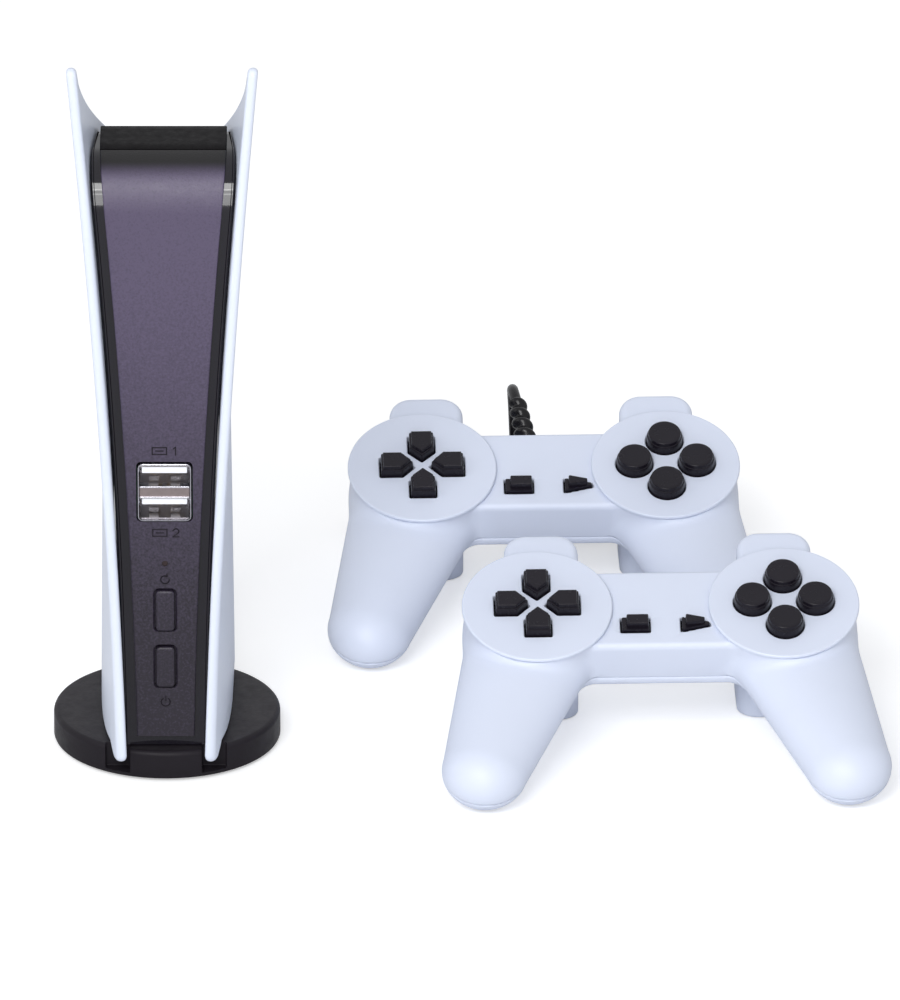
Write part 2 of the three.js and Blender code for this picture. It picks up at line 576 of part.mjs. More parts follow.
function avJack() {
  const { z, radius, bore, flange, depth, boreDepth, proud } = AV_JACK;
  const half = radius + flange;
  const inside = BODY_BACK_Y - BODY_WALL - SEAT_GAP;
  const block = box(-half, half, inside - depth, inside, z - half, z + half);
  const barrel = pin(radius, inside - BITE, BODY_BACK_Y + proud, { z, along: 'y', segments: KEY_SEGMENTS });
  const socket = pin(bore, inside - boreDepth, BODY_BACK_Y + OVERSHOOT,
    { z, along: 'y', segments: PIN_SEGMENTS });
  return block.add(barrel).subtract(socket);
}

function powerJack() {
  const front = BODY_BACK_Y + POWER_JACK.proud - POWER_JACK.depth;
  const shell = jackOutline(0, front, BODY_BACK_Y + POWER_JACK.proud);
  const hollow = jackOutline(-POWER_JACK.wall, front + POWER_JACK.wall, BODY_BACK_Y + OVERSHOOT);
  return shell.subtract(hollow);
}

function consolePieces() {
  const panel = sidePanel();
  return [
    piece('left_side_panel', mirrored(panel), WHITE_PLASTIC),
    piece('right_side_panel', panel, WHITE_PLASTIC),
    piece('rear_housing', rearHousing(), GLOSS_BLACK),
    piece('front_cover', frontCover(), COVER_PLASTIC),
    piece('top_cap', topCap(), COVER_PLASTIC),
    piece('stand_disc', standDisc(), STAND_PLASTIC),
    piece('foot_pad', footPad(), RUBBER),
    piece('stand_screw', standScrew(), STEEL),
    piece('main_board', mainBoard(), BOARD_GREEN),
    piece('main_chip', mainChip(), CHIP_BLACK),
    piece('usb_shell', usbShell(), STEEL),
    piece('usb_tongue_lower', usbTongue(0), WHITE_INSULATOR),
    piece('usb_tongue_upper', usbTongue(1), WHITE_INSULATOR),
    piece('reset_button', consoleButton(RESET_Z), COVER_PLASTIC),
    piece('power_button', consoleButton(POWER_Z), COVER_PLASTIC),
    piece('reset_switch', buttonSwitch(RESET_Z), CHIP_BLACK),
    piece('power_switch', buttonSwitch(POWER_Z), CHIP_BLACK),
    piece('power_lamp', powerLamp(), LAMP_CLEAR),
    piece('av_jack', avJack(), CHIP_BLACK),
    piece('power_jack', powerJack(), STEEL),
  ];
}

// ---------------------------------------------------------------- controller: shells
const SIDES = { left: -1, right: 1 };

// The right-hand pod under a round face.
function podSolid(inset) {
  const face = DISC_RADIUS - inset;
  const side = face - POD_STEP;
  const bottom = inset - POD_DEPTH;
  const pod = turned([
    [0, bottom], [0.55 * side, bottom], [0.82 * side, bottom + 1.6], [0.96 * side, bottom + 5],
    [side, bottom + 9], [side, BAR_TOP - inset], [face, BAR_TOP - inset], [face, -inset - DISC_EDGE],
    [face - DISC_EDGE, -inset], [0, -inset]], inset ? POD_SEGMENTS.inner : POD_SEGMENTS.outer);
  return solidOf(pod.translate(DISC_SPACING / 2, 0, 0));
}

// The right-hand grip: ellipses from under the round face to a rounded tip.
function gripSolid(inset) {
  const length = Math.hypot(GRIP.out, GRIP.reach);
  const along = new THREE.Vector3(GRIP.out, -GRIP.reach, GRIP.tipZ - GRIP.rootZ).normalize();
  const sideways = new THREE.Vector3(GRIP.reach, GRIP.out, 0).normalize();
  const up = new THREE.Vector3(0, 0, 1);
  const root = new THREE.Vector3(DISC_SPACING / 2, 0, GRIP.rootZ);
  const wide = GRIP.tipHalf - inset;
  const count = inset ? GRIP_SEGMENTS.inner : GRIP_SEGMENTS.outer;
  const ring = (distance, half, high) => Array.from({ length: count }, (_, i) => {
    const angle = (i / count) * Math.PI * 2;
    return root.clone().addScaledVector(along, distance)
      .addScaledVector(sideways, half * Math.cos(angle)).addScaledVector(up, high * Math.sin(angle));
  });
  const body = [0, 0.5, 1].map((t) => ring(t * length,
    THREE.MathUtils.lerp(GRIP.rootHalf, GRIP.tipHalf, t) - inset,
    THREE.MathUtils.lerp(GRIP.rootHigh, GRIP.tipHigh, t) - inset));
  const cap = [32, 60].map((degrees) => {
    const angle = THREE.MathUtils.degToRad(degrees);
    return ring(length + wide * Math.sin(angle), wide * Math.cos(angle),
      (GRIP.tipHigh - inset) * Math.cos(angle));
  });
  return ringSolid([...body, ...cap], root.clone().addScaledVector(along, length + wide));
}

function barSolid(inset) {
  const shape = roundedRectangle(BAR.front + inset, BAR.back - inset, inset - BAR.depth, BAR_TOP - inset,
    BAR.rounding - inset / 2);
  return push(shape, -DISC_SPACING / 2, DISC_SPACING / 2, 'yz', inset ? 1 : 3);
}

// The right-hand shoulder housing, leaning forward as it goes down.
function columnSolid(inset) {
  const rim = COLUMN.edge;
  const half = COLUMN.width / 2 - inset - rim;
  const shape = roundedRectangle(COLUMN_X - half, COLUMN_X + half, COLUMN.front + inset + rim,
    COLUMN.back - inset - rim, COLUMN.corner - inset - rim);
  const depth = COLUMN.top - inset - rim - COLUMN_BOTTOM;
  const geometry = new THREE.ExtrudeGeometry(shape, { depth, curveSegments: inset ? 3 : 4,
    bevelThickness: rim, bevelSize: rim, bevelSegments: inset ? 1 : 2 });
  return solidOf(geometry.translate(0, 0, COLUMN_BOTTOM).applyMatrix4(columnLean()));
}

function columnLean() {
  return new THREE.Matrix4().makeShear(0, 0, 0, 0, 0, COLUMN.shear);
}

// Turns a controller's own frame into its stance on the table.
function stance(place) {
  const lift = -lowestPoint(moved(gripSolid(0), new THREE.Matrix4().makeRotationX(PAD_TILT)));
  return new THREE.Matrix4().makeTranslation(place.x, place.y, lift)
    .multiply(new THREE.Matrix4().makeRotationZ(PAD_YAW))
    .multiply(new THREE.Matrix4().makeRotationX(PAD_TILT));
}

function lowestPoint(solid) {
  const geometry = geometryOf(solid);
  geometry.computeBoundingBox();
  return geometry.boundingBox.min.z;
}

// Everything below the table, seen from the controller's own frame, raised by a distance.
function belowTable(raise) {
  const matrix = stance({ x: 0, y: 0 }).invert();
  return moved(box(-BEYOND, BEYOND, -BEYOND, BEYOND, -BEYOND, raise), matrix);
}

function bothSides(build) {
  const right = build();
  return [right, mirrored(right)];
}

function caseSolid(inset) {
  const parts = [barSolid(inset)];
  for (const build of [podSolid, gripSolid, columnSolid]) parts.push(...bothSides(() => build(inset)));
  return join(parts).subtract(belowTable(inset));
}

const above = (z) => box(-BEYOND, BEYOND, -BEYOND, BEYOND, z, BEYOND);
const below = (z) => box(-BEYOND, BEYOND, -BEYOND, BEYOND, -BEYOND, z);

function post(x, y, radius, bottom, top) {
  return pin(radius, bottom, top, { x, y, segments: PIN_SEGMENTS });
}

// A post, boss or hole on the case screw's axis.
const onScrew = (radius, bottom, top) => post(0, CASE_SCREW.y, radius, bottom, top);

function topShell(shell, inlet) {
  const boss = onScrew(CASE_SCREW.boss, PCB_BOTTOM - SEAT_GAP, BAR_TOP - PAD_WALL / 2);
  const bore = onScrew(CASE_SCREW.shank + SEAT_GAP, -BAR.depth, CASE_SHANK_Z + CASE_SCREW.length + SEAT_GAP);
  return cut(join([shell.intersect(above(PARTING_Z)), boss]), [inlet, bore, ...faceHoles()]);
}

function bottomShell(shell, inlet) {
  const boss = onScrew(CASE_SCREW.footBoss, PAD_WALL / 2 - BAR.depth, PCB_BOTTOM - 2 * SEAT_GAP);
  const posts = Object.values(SIDES).flatMap((side) => BOARD_POSTS.map(({ x, y, floor }) =>
    post(side * x, y, BOARD_POST_RADIUS, floor + PAD_WALL / 2, PCB_BOTTOM - SEAT_GAP)));
  const headHole = onScrew(CASE_SCREW.head + SEAT_GAP, -BAR.depth - OVERSHOOT, CASE_SHANK_Z + SEAT_GAP);
  const shankHole = onScrew(CASE_SCREW.shank + SEAT_GAP, -BAR.depth, 0);
  const back = COLUMN.back - PAD_WALL + COLUMN.shear * SHOULDER_KEY.lower[0];
  const slots = Object.values(SIDES).flatMap((side) => ['upper', 'lower'].map((row) =>
    shoulderOutline(side, row, KEY_GAP, back - OVERSHOOT, COLUMN.back + OVERSHOOT)));
  const lower = shell.intersect(below(PARTING_Z - SEAT_GAP));
  return cut(join([lower, boss, ...posts]), [inlet, headHole, shankHole, ...slots]);
}

function padShells(withCord) {
  const shell = caseSolid(0).subtract(caseSolid(PAD_WALL));
  const inlet = pin(withCord ? RELIEF.hole : INLET_RADIUS, BAR.back - PAD_WALL - OVERSHOOT,
    BAR.back + OVERSHOOT, { x: RELIEF.x, z: RELIEF.z, along: 'y', segments: KEY_SEGMENTS });
  return { top: topShell(shell, inlet), bottom: bottomShell(shell, inlet) };
}

// ---------------------------------------------------------------- controller: keys
// One of the four direction keys: a block with a point towards the middle, grown by a gap.
function directionOutline(turn, grow) {
  const { tip, shoulder, outer, half } = DPAD;
  const slope = Math.atan2(half, shoulder);
  const point = tip - grow / Math.sin(slope);
  const corner = tip + shoulder - grow * Math.tan(slope / 2);
  const outline = [[point, 0], [corner, half + grow], [outer + grow, half + grow],
    [outer + grow, -half - grow], [corner, -half - grow]];
  const shape = new THREE.Shape();
  outline.forEach(([along, across], i) => {
    const x = -DISC_SPACING / 2 + along * Math.cos(turn) - across * Math.sin(turn);
    const y = along * Math.sin(turn) + across * Math.cos(turn);
    if (i === 0) shape.moveTo(x, y);
    else shape.lineTo(x, y);
  });
  return shape;
}

const QUARTERS = [0, 1, 2, 3].map((i) => i * Math.PI / 2);
const KEY_NAMES = ['right', 'up', 'left', 'down'];

// Where a key presses its contact, on the left or right round face.
function contactPlace(turn, side) {
  const { offset } = ROUND_KEY;
  return { x: side * DISC_SPACING / 2 + offset * Math.cos(turn), y: offset * Math.sin(turn) };
}

function selectOutline(grow) {
  const { selectX, width, depth, corner, y } = OPTION_KEY;
  const halfWidth = width / 2 + grow;
  const halfDepth = depth / 2 + grow;
  return roundedRectangle(selectX - halfWidth, selectX + halfWidth, y - halfDepth, y + halfDepth, corner);
}

// A triangle that points to the right, grown by a distance on every side.
function startOutline(grow) {
  const { startX, width, depth, y } = OPTION_KEY;
  const slope = Math.atan2(depth / 2, width);
  const left = startX - width / 2 - grow;
  const right = startX + width / 2 + grow / Math.sin(slope);
  const half = (right - left) * Math.tan(slope);
  const shape = new THREE.Shape();
  shape.moveTo(left, y - half);
  shape.lineTo(right, y);
  shape.lineTo(left, y + half);
  return shape;
}

function faceHoles() {
  const bottom = BAR_TOP - 2 * PAD_WALL;
  const cutters = QUARTERS.map((turn) => push(directionOutline(turn, DPAD.gap), bottom, OVERSHOOT));
  for (const turn of QUARTERS) {
    cutters.push(pin(ROUND_KEY.radius + KEY_GAP, bottom, OVERSHOOT,
      { ...contactPlace(turn, SIDES.right), segments: KEY_SEGMENTS }));
  }
  const options = [selectOutline, startOutline].map((outline) => push(outline(KEY_GAP), bottom, OVERSHOOT));
  return [...cutters, ...options];
}

// The four direction keys on their cross-shaped plate, with a stem over each contact dome.
function directionKeys() {
  const { half, height, plateTop, plateOuter, stem, tilt } = DPAD;
  const arms = [[plateOuter, half], [half, plateOuter]].map(([halfX, halfY]) =>
    box(-DISC_SPACING / 2 - halfX, -DISC_SPACING / 2 + halfX, -halfY, halfY, DPAD_BOTTOM, plateTop));
  const stemEnd = DOME_TOP + SEAT_GAP + (ROUND_KEY.offset + stem) * Math.sin(tilt);
  const stems = QUARTERS.map((turn) =>
    pin(stem, stemEnd, DPAD_BOTTOM + BITE, { ...contactPlace(turn, SIDES.left), segments: 6 }));
  const keys = QUARTERS.map((turn) => push(directionOutline(turn, 0), plateTop - BITE, height));
  return join([...arms, ...stems, ...keys]);
}

function directionPivot() {
  return pin(PIVOT.radius, PIVOT.bottom, DPAD_BOTTOM - SEAT_GAP,
    { x: -DISC_SPACING / 2, segments: PIN_SEGMENTS });
}

function roundKey(turn) {
  const { x, y } = contactPlace(turn, SIDES.right);
  const { radius, height, edge, flange, stem } = ROUND_KEY;
  const bottom = DOME_TOP + SEAT_GAP + KEY_TRAVEL;
  const top = -PAD_WALL - SEAT_GAP;
  const profile = [[0, bottom], [stem, bottom], [stem, top - KEY_FLANGE], [flange, top - KEY_FLANGE],
    [flange, top], [radius, top], [radius, height - edge], [radius - edge, height], [0, height]];
  return solidOf(turned(profile, KEY_SEGMENTS).translate(x, y, 0));
}

// A select or start key: a step on the bar, the key on it, and a flange and stem below.
function optionKey(outline, centreX) {
  const ceiling = BAR_TOP - PAD_WALL - SEAT_GAP;
  const { y, step, inset, height, flange, travel, stem } = OPTION_KEY;
  const halfX = OPTION_KEY.width / 2 + flange;
  const halfY = OPTION_KEY.depth / 2 + flange;
  return join([
    box(centreX - halfX, centreX + halfX, y - halfY, y + halfY, ceiling - flange, ceiling),
    push(outline(0), ceiling - BITE, BAR_TOP + step),
    push(outline(-inset), BAR_TOP, BAR_TOP + height),
    pin(stem, MEMBRANE_TOP + SEAT_GAP + travel, ceiling, { x: centreX, y, segments: PIN_SEGMENTS })]);
}

function shoulderOutline(side, row, grow, start, end) {
  const { width, corner } = SHOULDER_KEY;
  const half = width / 2 + grow;
  const [low, high] = SHOULDER_KEY[row];
  const outline = roundedRectangle(side * COLUMN_X - half, side * COLUMN_X + half,
    low - grow, high + grow, corner);
  return push(outline, start, end, 'xz', 3);
}

// A shoulder key: its cap leans with the housing, its flange stays inside, clear of the rounded corners.
function shoulderKey(side, row) {
  const [low, high] = SHOULDER_KEY[row];
  const { width, flange, proud } = SHOULDER_KEY;
  const half = width / 2 + flange;
  const corner = COLUMN.corner - PAD_WALL;
  const intoCorner = half - (COLUMN.width / 2 - COLUMN.corner);
  const inside = COLUMN.back - PAD_WALL - 2 * SEAT_GAP - corner + Math.sqrt(corner ** 2 - intoCorner ** 2);
  const cap = shoulderOutline(side, row, 0, inside - BITE, COLUMN.back + proud);
  const rim = box(side * COLUMN_X - half, side * COLUMN_X + half, inside - KEY_FLANGE, inside,
    low - flange, high + flange);
  return moved(join([cap, rim]), columnLean());
}

// ---------------------------------------------------------------- controller: inside
// Two discs joined by a strip, with a hole for the case screw's boss.
function plate(radius, halfDepth, bottom, top) {
  const discs = Object.values(SIDES).map((side) =>
    pin(radius, bottom, top, { x: side * DISC_SPACING / 2, segments: KEY_SEGMENTS }));
  const strip = box(-DISC_SPACING / 2, DISC_SPACING / 2, -halfDepth, halfDepth, bottom, top);
  const hole = onScrew(CASE_SCREW.boss + 2 * SEAT_GAP, bottom - OVERSHOOT, top + OVERSHOOT);
  return join([...discs, strip]).subtract(hole);
}

const circuitBoard = () => plate(PCB.disc, PCB.halfDepth, PCB_BOTTOM, PCB.top);

function keyMembrane() {
  const domes = QUARTERS.flatMap((turn) => Object.values(SIDES).map((side) =>
    pin(MEMBRANE.dome, MEMBRANE_TOP - BITE, DOME_TOP, { ...contactPlace(turn, side), segments: 8 })));
  return join([plate(MEMBRANE.disc, MEMBRANE.halfDepth, PCB.top + SEAT_GAP, MEMBRANE_TOP), ...domes]);
}

function caseScrew() {
  return onScrew(CASE_SCREW.head, CASE_HEAD_Z, CASE_SHANK_Z)
    .add(onScrew(CASE_SCREW.shank, CASE_SHANK_Z - BITE, CASE_SHANK_Z + CASE_SCREW.length));
}

// ---------------------------------------------------------------- controller: assembly
function padPieces(prefix) {
  const withCord = prefix === 'rear';
  const { top, bottom } = padShells(withCord);
  const keys = QUARTERS.map((turn, i) => [`button_${KEY_NAMES[i]}`, roundKey(turn), BLACK_KEY]);
  const shoulders = Object.entries(SIDES).flatMap(([name, side]) => [
    [`${name}_upper_shoulder_key`, shoulderKey(side, 'upper'), WHITE_PLASTIC],
    [`${name}_lower_shoulder_key`, shoulderKey(side, 'lower'), WHITE_PLASTIC]]);
  const pieces = [
    ['top_shell', top, WHITE_PLASTIC],
    ['bottom_shell', bottom, WHITE_PLASTIC],
    ['direction_keys', directionKeys(), BLACK_KEY],
    ['direction_pivot', directionPivot(), BLACK_KEY],
    ...keys,
    ['select_key', optionKey(selectOutline, OPTION_KEY.selectX), BLACK_KEY],
    ['start_key', optionKey(startOutline, OPTION_KEY.startX), BLACK_KEY],
    ...shoulders,
    ['circuit_board', circuitBoard(), BOARD_GREEN],
    ['key_membrane', keyMembrane(), RUBBER],
    ['case_screw', caseScrew(), STEEL],
  ];
  if (withCord) pieces.push(['strain_relief', strainRelief(), RUBBER]);
  return pieces.map(([name, solid, material]) => piece(`${prefix}_${name}`, solid, material));
}

// The tapered sleeve that the cord comes out of, with its collar inside the wall.
function strainRelief() {
  const { x, z, lean, base, end, length, hole, flange, flangeDepth } = RELIEF;
  const inside = -PAD_WALL - SEAT_GAP - flange * Math.sin(lean);
  const outside = SEAT_GAP + base * Math.sin(lean);
  const neck = hole - 2 * SEAT_GAP;
  const profile = [[0, inside - flangeDepth], [flange, inside - flangeDepth], [flange, inside],
    [neck, inside], [neck, outside], [base, outside], [end, length], [0, length]];
  const geometry = turned(profile, KEY_SEGMENTS).rotateX(-Math.PI / 2).rotateZ(lean);
  return solidOf(geometry.translate(x, BAR.back, z));
}

function pad(prefix) {
  const group = new THREE.Group();
  group.add(...padPieces(prefix));
  stance(PAD_PLACES[prefix]).decompose(group.position, group.quaternion, group.scale);
  return group;
}

// ---------------------------------------------------------------- cord
function tube(route) {
  const circle = new THREE.Shape().absarc(0, 0, CORD_DIAMETER / 2, 0, Math.PI * 2);
  const path = new THREE.CatmullRomCurve3(route.map((point) => new THREE.Vector3(...point)));
  const steps = Math.round(path.getLength() / (1.7 * CORD_DIAMETER));
  return solidOf(new THREE.ExtrudeGeometry(circle, { steps, extrudePath: path, curveSegments: 4 }));
}

function coilRing() {
  const half = COIL.wide * CORD_DIAMETER / 2;
  const height = COIL.high * CORD_DIAMETER;
  const inner = COIL.middle - half;
  const outer = COIL.middle + half;
  const ring = turned([[inner, 0], [outer, 0], [outer, height], [inner, height], [inner, 0]], 32);
  return solidOf(ring.translate(COIL.x, COIL.y, 0));
}

// The plug lies on the table with its cord end at the end of the lead, pointing to -x.
function plugBody() {
  const [x, y, z] = LEAD_ROUTE.at(-1);
  const { bodyLength, bodyWidth, bodyHeight, corner, nose, noseLength } = PLUG;
  const start = x - SEAT_GAP;
  const outline = roundedRectangle(y - bodyWidth / 2, y + bodyWidth / 2,
    z - bodyHeight / 2, z + bodyHeight / 2, corner);
  const block = push(outline, start - bodyLength, start - noseLength, 'yz', 3);
  return block.add(pin(nose, start - noseLength - BITE, start, { y, z, along: 'x', segments: 12 }));
}

function plugShell() {
  const [x, y, z] = LEAD_ROUTE.at(-1);
  const { bodyLength, shellLength, shellWidth, shellHeight, shellWall, shellCorner, shellFloor } = PLUG;
  const back = x - 2 * SEAT_GAP - bodyLength;
  const front = back - shellLength;
  const outline = (inset) => roundedRectangle(y - shellWidth / 2 + inset, y + shellWidth / 2 - inset,
    z - shellHeight / 2 + inset, z + shellHeight / 2 - inset, shellCorner - inset);
  const hollow = push(outline(shellWall), front - OVERSHOOT, back - shellFloor, 'yz', 2);
  return push(outline(0), front, back, 'yz', 2).subtract(hollow);
}

function cordPieces() {
  return [
    piece('rear_cord', tube(CORD_ROUTE), RUBBER),
    piece('rear_cord_coil', coilRing(), RUBBER),
    piece('rear_plug_lead', tube(LEAD_ROUTE), RUBBER),
    piece('rear_plug_body', plugBody(), RUBBER),
    piece('rear_plug_shell', plugShell(), STEEL),
  ];
}

const model = new THREE.Group();
model.add(...consolePieces(), pad('rear'), pad('front'), ...cordPieces());
export default model;
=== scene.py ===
import json
from math import atan2, ceil, cos, hypot, pi, radians, sin, tan

import bmesh
import bpy
import numpy as np
from mathutils import Matrix, Vector


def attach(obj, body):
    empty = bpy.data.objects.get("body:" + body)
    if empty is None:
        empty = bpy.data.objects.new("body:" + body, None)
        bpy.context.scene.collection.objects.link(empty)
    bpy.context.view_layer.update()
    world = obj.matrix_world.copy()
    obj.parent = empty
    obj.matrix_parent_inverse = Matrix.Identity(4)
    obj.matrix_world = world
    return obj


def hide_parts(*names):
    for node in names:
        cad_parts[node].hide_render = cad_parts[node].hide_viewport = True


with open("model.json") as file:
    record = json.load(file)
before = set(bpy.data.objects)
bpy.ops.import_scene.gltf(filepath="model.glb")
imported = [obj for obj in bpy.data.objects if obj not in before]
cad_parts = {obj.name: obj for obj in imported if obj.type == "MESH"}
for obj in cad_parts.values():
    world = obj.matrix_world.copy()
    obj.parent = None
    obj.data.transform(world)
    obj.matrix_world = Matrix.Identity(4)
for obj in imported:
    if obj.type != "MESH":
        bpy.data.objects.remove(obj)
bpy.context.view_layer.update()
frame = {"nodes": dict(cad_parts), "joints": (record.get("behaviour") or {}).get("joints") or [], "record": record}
scene = bpy.context.scene
joints = {joint["name"]: joint for joint in frame["joints"]}
MM = 0.001
FINE = 1


# ---- camera
def add_camera():
    data = bpy.data.cameras.new("camera")
    data.lens = 889.8
    data.sensor_width = 36
    data.sensor_fit = "HORIZONTAL"
    data.clip_start = 0.1
    data.clip_end = 100
    camera = bpy.data.objects.new("camera", data)
    camera.location = (0.0762, -5.45231, 2.4966)
    camera.rotation_euler = (radians(66), 0, 0)
    scene.collection.objects.link(camera)
    scene.camera = camera


add_camera()

# ---- materials
LINES = (1, 12, 1)  # drawn metal: how far its noise is squeezed along each axis
# The cover's colours hold painted light: a shaded tone low down, a lit tone high up, and painted shade over its
# curve.
COVER_SHADED_LOW, COVER_LIT_HIGH, COVER_SHADE_OVER_CURVE = (31, 26, 37), (83, 74, 98), (6, 4, 6)
COVER_LIGHT_RISE = (0.02, 0.165)  # metres up, over which painted light takes the cover from its shaded low colour to its lit high one
COVER_SHADE_FADE = (-0.0248, -0.0205)  # metres back, where painted shade turns the cover dark over its curve
FINE_WEAR = {"scale": 420, "detail": 4, "roughness": 0.6}
FINE_GRAIN = {"detail": 3, "roughness": 0.65}


def make_material(name, recipe, *values):
    """A material whose recipe is a function of its node tree that returns its shader's inputs."""
    material = bpy.data.materials.new(name)
    material.use_nodes = True
    tree = material.node_tree
    for socket, value in recipe(tree, *values).items():
        fill(tree, tree.nodes["Principled BSDF"].inputs[socket], value)
    return material


def add_node(tree, kind, result, **inputs):
    """A node with its inputs set to values or linked to sockets. Returns the output of the given name."""
    node = tree.nodes.new("ShaderNode" + kind)
    for name, value in inputs.items():
        fill(tree, node.inputs[name.replace("_", " ")], value)
    return node.outputs[result]


def fill(tree, socket, value):
    if isinstance(value, bpy.types.NodeSocket):
        tree.links.new(value, socket)
    else:
        socket.default_value = value


def noise(tree, scale, detail=2.0, roughness=0.5, stretch=(1, 1, 1)):
    place = add_node(tree, "TexCoord", "Object")
    vector = add_node(tree, "Mapping", "Vector", Vector=place, Scale=stretch)
    return add_node(tree, "TexNoise", "Fac", Vector=vector, Scale=scale, Detail=detail, Roughness=roughness)


def spread(tree, value, low, high, start=0.3, end=0.7):
    return add_node(tree, "MapRange", "Result", Value=value, From_Min=start, From_Max=end,
                    To_Min=low, To_Max=high)


def ease(tree, value, start, end):
    result = spread(tree, value, 0, 1, start, end)
    result.node.interpolation_type = "SMOOTHSTEP"
    return result


def math_node(tree, operation, first, second):
    node = tree.nodes.new("ShaderNodeMath")
    node.operation = operation
    fill(tree, node.inputs[0], first)
    fill(tree, node.inputs[1], second)
    return node.outputs["Value"]


def blend_colors(tree, share, first, second):
    node = tree.nodes.new("ShaderNodeMix")
    node.data_type = "RGBA"
    for name, value in (("A", first), ("B", second), ("Factor", share)):
        fill(tree, node.inputs[name], (*value, 1) if isinstance(value, tuple) else value)
    return node.outputs["Result"]


def bumps(tree, height, strength, depth):
    return add_node(tree, "Bump", "Normal", Height=height, Strength=strength, Distance=depth)


def shade(color, factor):
    return tuple(min(1.0, channel * factor) for channel in color)


def linear(red, green, blue):
    """A colour given as it looks on screen, 0 to 255, as the shader wants it."""
    return tuple(
        v / 12.92 if v <= 0.04045 else ((v + 0.055) / 1.055) ** 2.4
        for v in (red / 255, green / 255, blue / 255)
    )


def plastic(tree, color, rough, mottle=0.03, grain=2600, bump=0.1, depth=0.00006, specular=0.5):
    """Moulded plastic: slight cloudiness of colour, uneven gloss and a fine grain."""
    color = linear(*color)
    cloud = spread(tree, noise(tree, 45, 3), 0, 1)
    return {"Base Color": blend_colors(tree, cloud, shade(color, 1 - mottle), shade(color, 1 + mottle)),
            "Roughness": spread(tree, noise(tree, **FINE_WEAR), *rough),
            "Normal": bumps(tree, noise(tree, grain, **FINE_GRAIN), bump, depth),
            "Specular IOR Level": specular}


def cover_plastic(tree):
    """Fine grained dark plastic, with painted light that makes it paler towards the top and painted shade that
    darkens it over its curve, and fine speckles of tone.
    """
    place = tree.nodes.new("ShaderNodeSeparateXYZ")
    fill(tree, place.inputs["Vector"], add_node(tree, "TexCoord", "Object"))
    # painted light: the cover grows paler towards the top
    height = ease(tree, place.outputs["Z"], *COVER_LIGHT_RISE)
    speck = spread(tree, noise(tree, 1500, 3, 0.75), -0.26, 0.26)
    face = blend_colors(tree, math_node(tree, "ADD", height, speck), linear(*COVER_SHADED_LOW), linear(*COVER_LIT_HIGH))
    # painted shade: the cover turns dark over its curve into the top
    dark = ease(tree, place.outputs["Y"], *COVER_SHADE_FADE)
    return {"Base Color": blend_colors(tree, dark, face, linear(*COVER_SHADE_OVER_CURVE)),
            "Roughness": spread(tree, noise(tree, **FINE_WEAR), 0.32, 0.42),
            "Normal": bumps(tree, noise(tree, 2600, **FINE_GRAIN), 0.6, 0.00012),
            "Specular IOR Level": 0.42}


def metal(tree, color, rough, stretch=(1, 1, 1)):
    """Plated or brushed sheet metal, with fine lines across the direction that is stretched."""
    color = linear(*color)
    lines = noise(tree, 900, 4, 0.7, stretch)
    tint = blend_colors(tree, spread(tree, lines, 0, 1), shade(color, 0.9), shade(color, 1.05))
    return {"Base Color": tint, "Roughness": spread(tree, lines, *rough),
            "Normal": bumps(tree, lines, 0.08, 0.00003), "Metallic": 1}


def board(tree):
    """Green solder mask with darker and paler tracks."""
    cells = add_node(tree, "TexVoronoi", "Distance", Vector=add_node(tree, "TexCoord", "Object"), Scale=420)
    cells.node.distance = "CHEBYCHEV"
    share = spread(tree, cells, 0, 1, 0.32, 0.36)
    return {"Base Color": blend_colors(tree, share, linear(22, 84, 50), linear(34, 112, 66)),
            "Roughness": spread(tree, noise(tree, 500), 0.3, 0.45)}


# name: colour, (least, most) roughness, mottle, grain, bump, depth of bump, specular level
PLASTICS = {
    "white_plastic": ((221, 228, 243), (0.34, 0.46), 0.012, 3200, 0.06),
    "pad_white": ((214, 221, 238), (0.4, 0.52), 0.012, 3200, 0.06),
    "cap_plastic": ((11, 9, 11), (0.45, 0.6), 0.08, 2200, 0.4, 0.0001, 0.07),
    "gloss_black": ((17, 14, 24), (0.05, 0.1), 0.1, 700, 0.02, 0.00006, 0.42),
    "stand_plastic": ((31, 28, 33), (0.38, 0.5), 0.1, 1500, 0.3, 0.0001, 0.12),
    "black_key": ((24, 21, 29), (0.2, 0.3), 0.12, 3000, 0.3, 0.0001, 0.2),
    "rubber": ((12, 11, 14), (0.2, 0.32), 0.15, 1800, 0.15, 0.00006, 0.25),
    "white_insulator": ((238, 240, 246), (0.35, 0.45), 0.02),
    "chip_black": ((33, 33, 35), (0.45, 0.6), 0.1),
    "lamp_clear": ((34, 14, 17), (0.12, 0.2), 0.05, 2600, 0.02),
    # mark: darker than the cover, as painted shade of engraved lines
    "mark": ((34, 30, 38), (0.45, 0.6), 0.08, 2600, 0.1, 0.00006, 0.2),
}
METALS = {
    "steel": ((186, 185, 192), (0.2, 0.36), LINES),
    "divider_steel": ((146, 134, 134), (0.28, 0.45), LINES),
    "dark_steel": ((158, 154, 157), (0.3, 0.5), LINES),
    "contact_gold": ((226, 190, 110), (0.2, 0.35)),
}
MATERIAL = {name: make_material(name, plastic, *values) for name, values in PLASTICS.items()}
MATERIAL |= {name: make_material(name, metal, *values) for name, values in METALS.items()}
MATERIAL |= {name: make_material(name, recipe)
             for name, recipe in (("cover_plastic", cover_plastic), ("board_green", board))}


# ---- meshes
def link_piece(name, data, material, body, slot=None, replaces=()):
    piece = bpy.data.objects.new(name, data)
    scene.collection.objects.link(piece)
    if material is not None:
        data.materials.append(MATERIAL[material])
    if body:
        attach(piece, body)
    if replaces:
        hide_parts(*replaces)
    return piece


def placed(points, place):
    """Points in mm turned by a matrix."""
    turn = np.array(place)
    return points @ turn[:3, :3].T + turn[:3, 3]


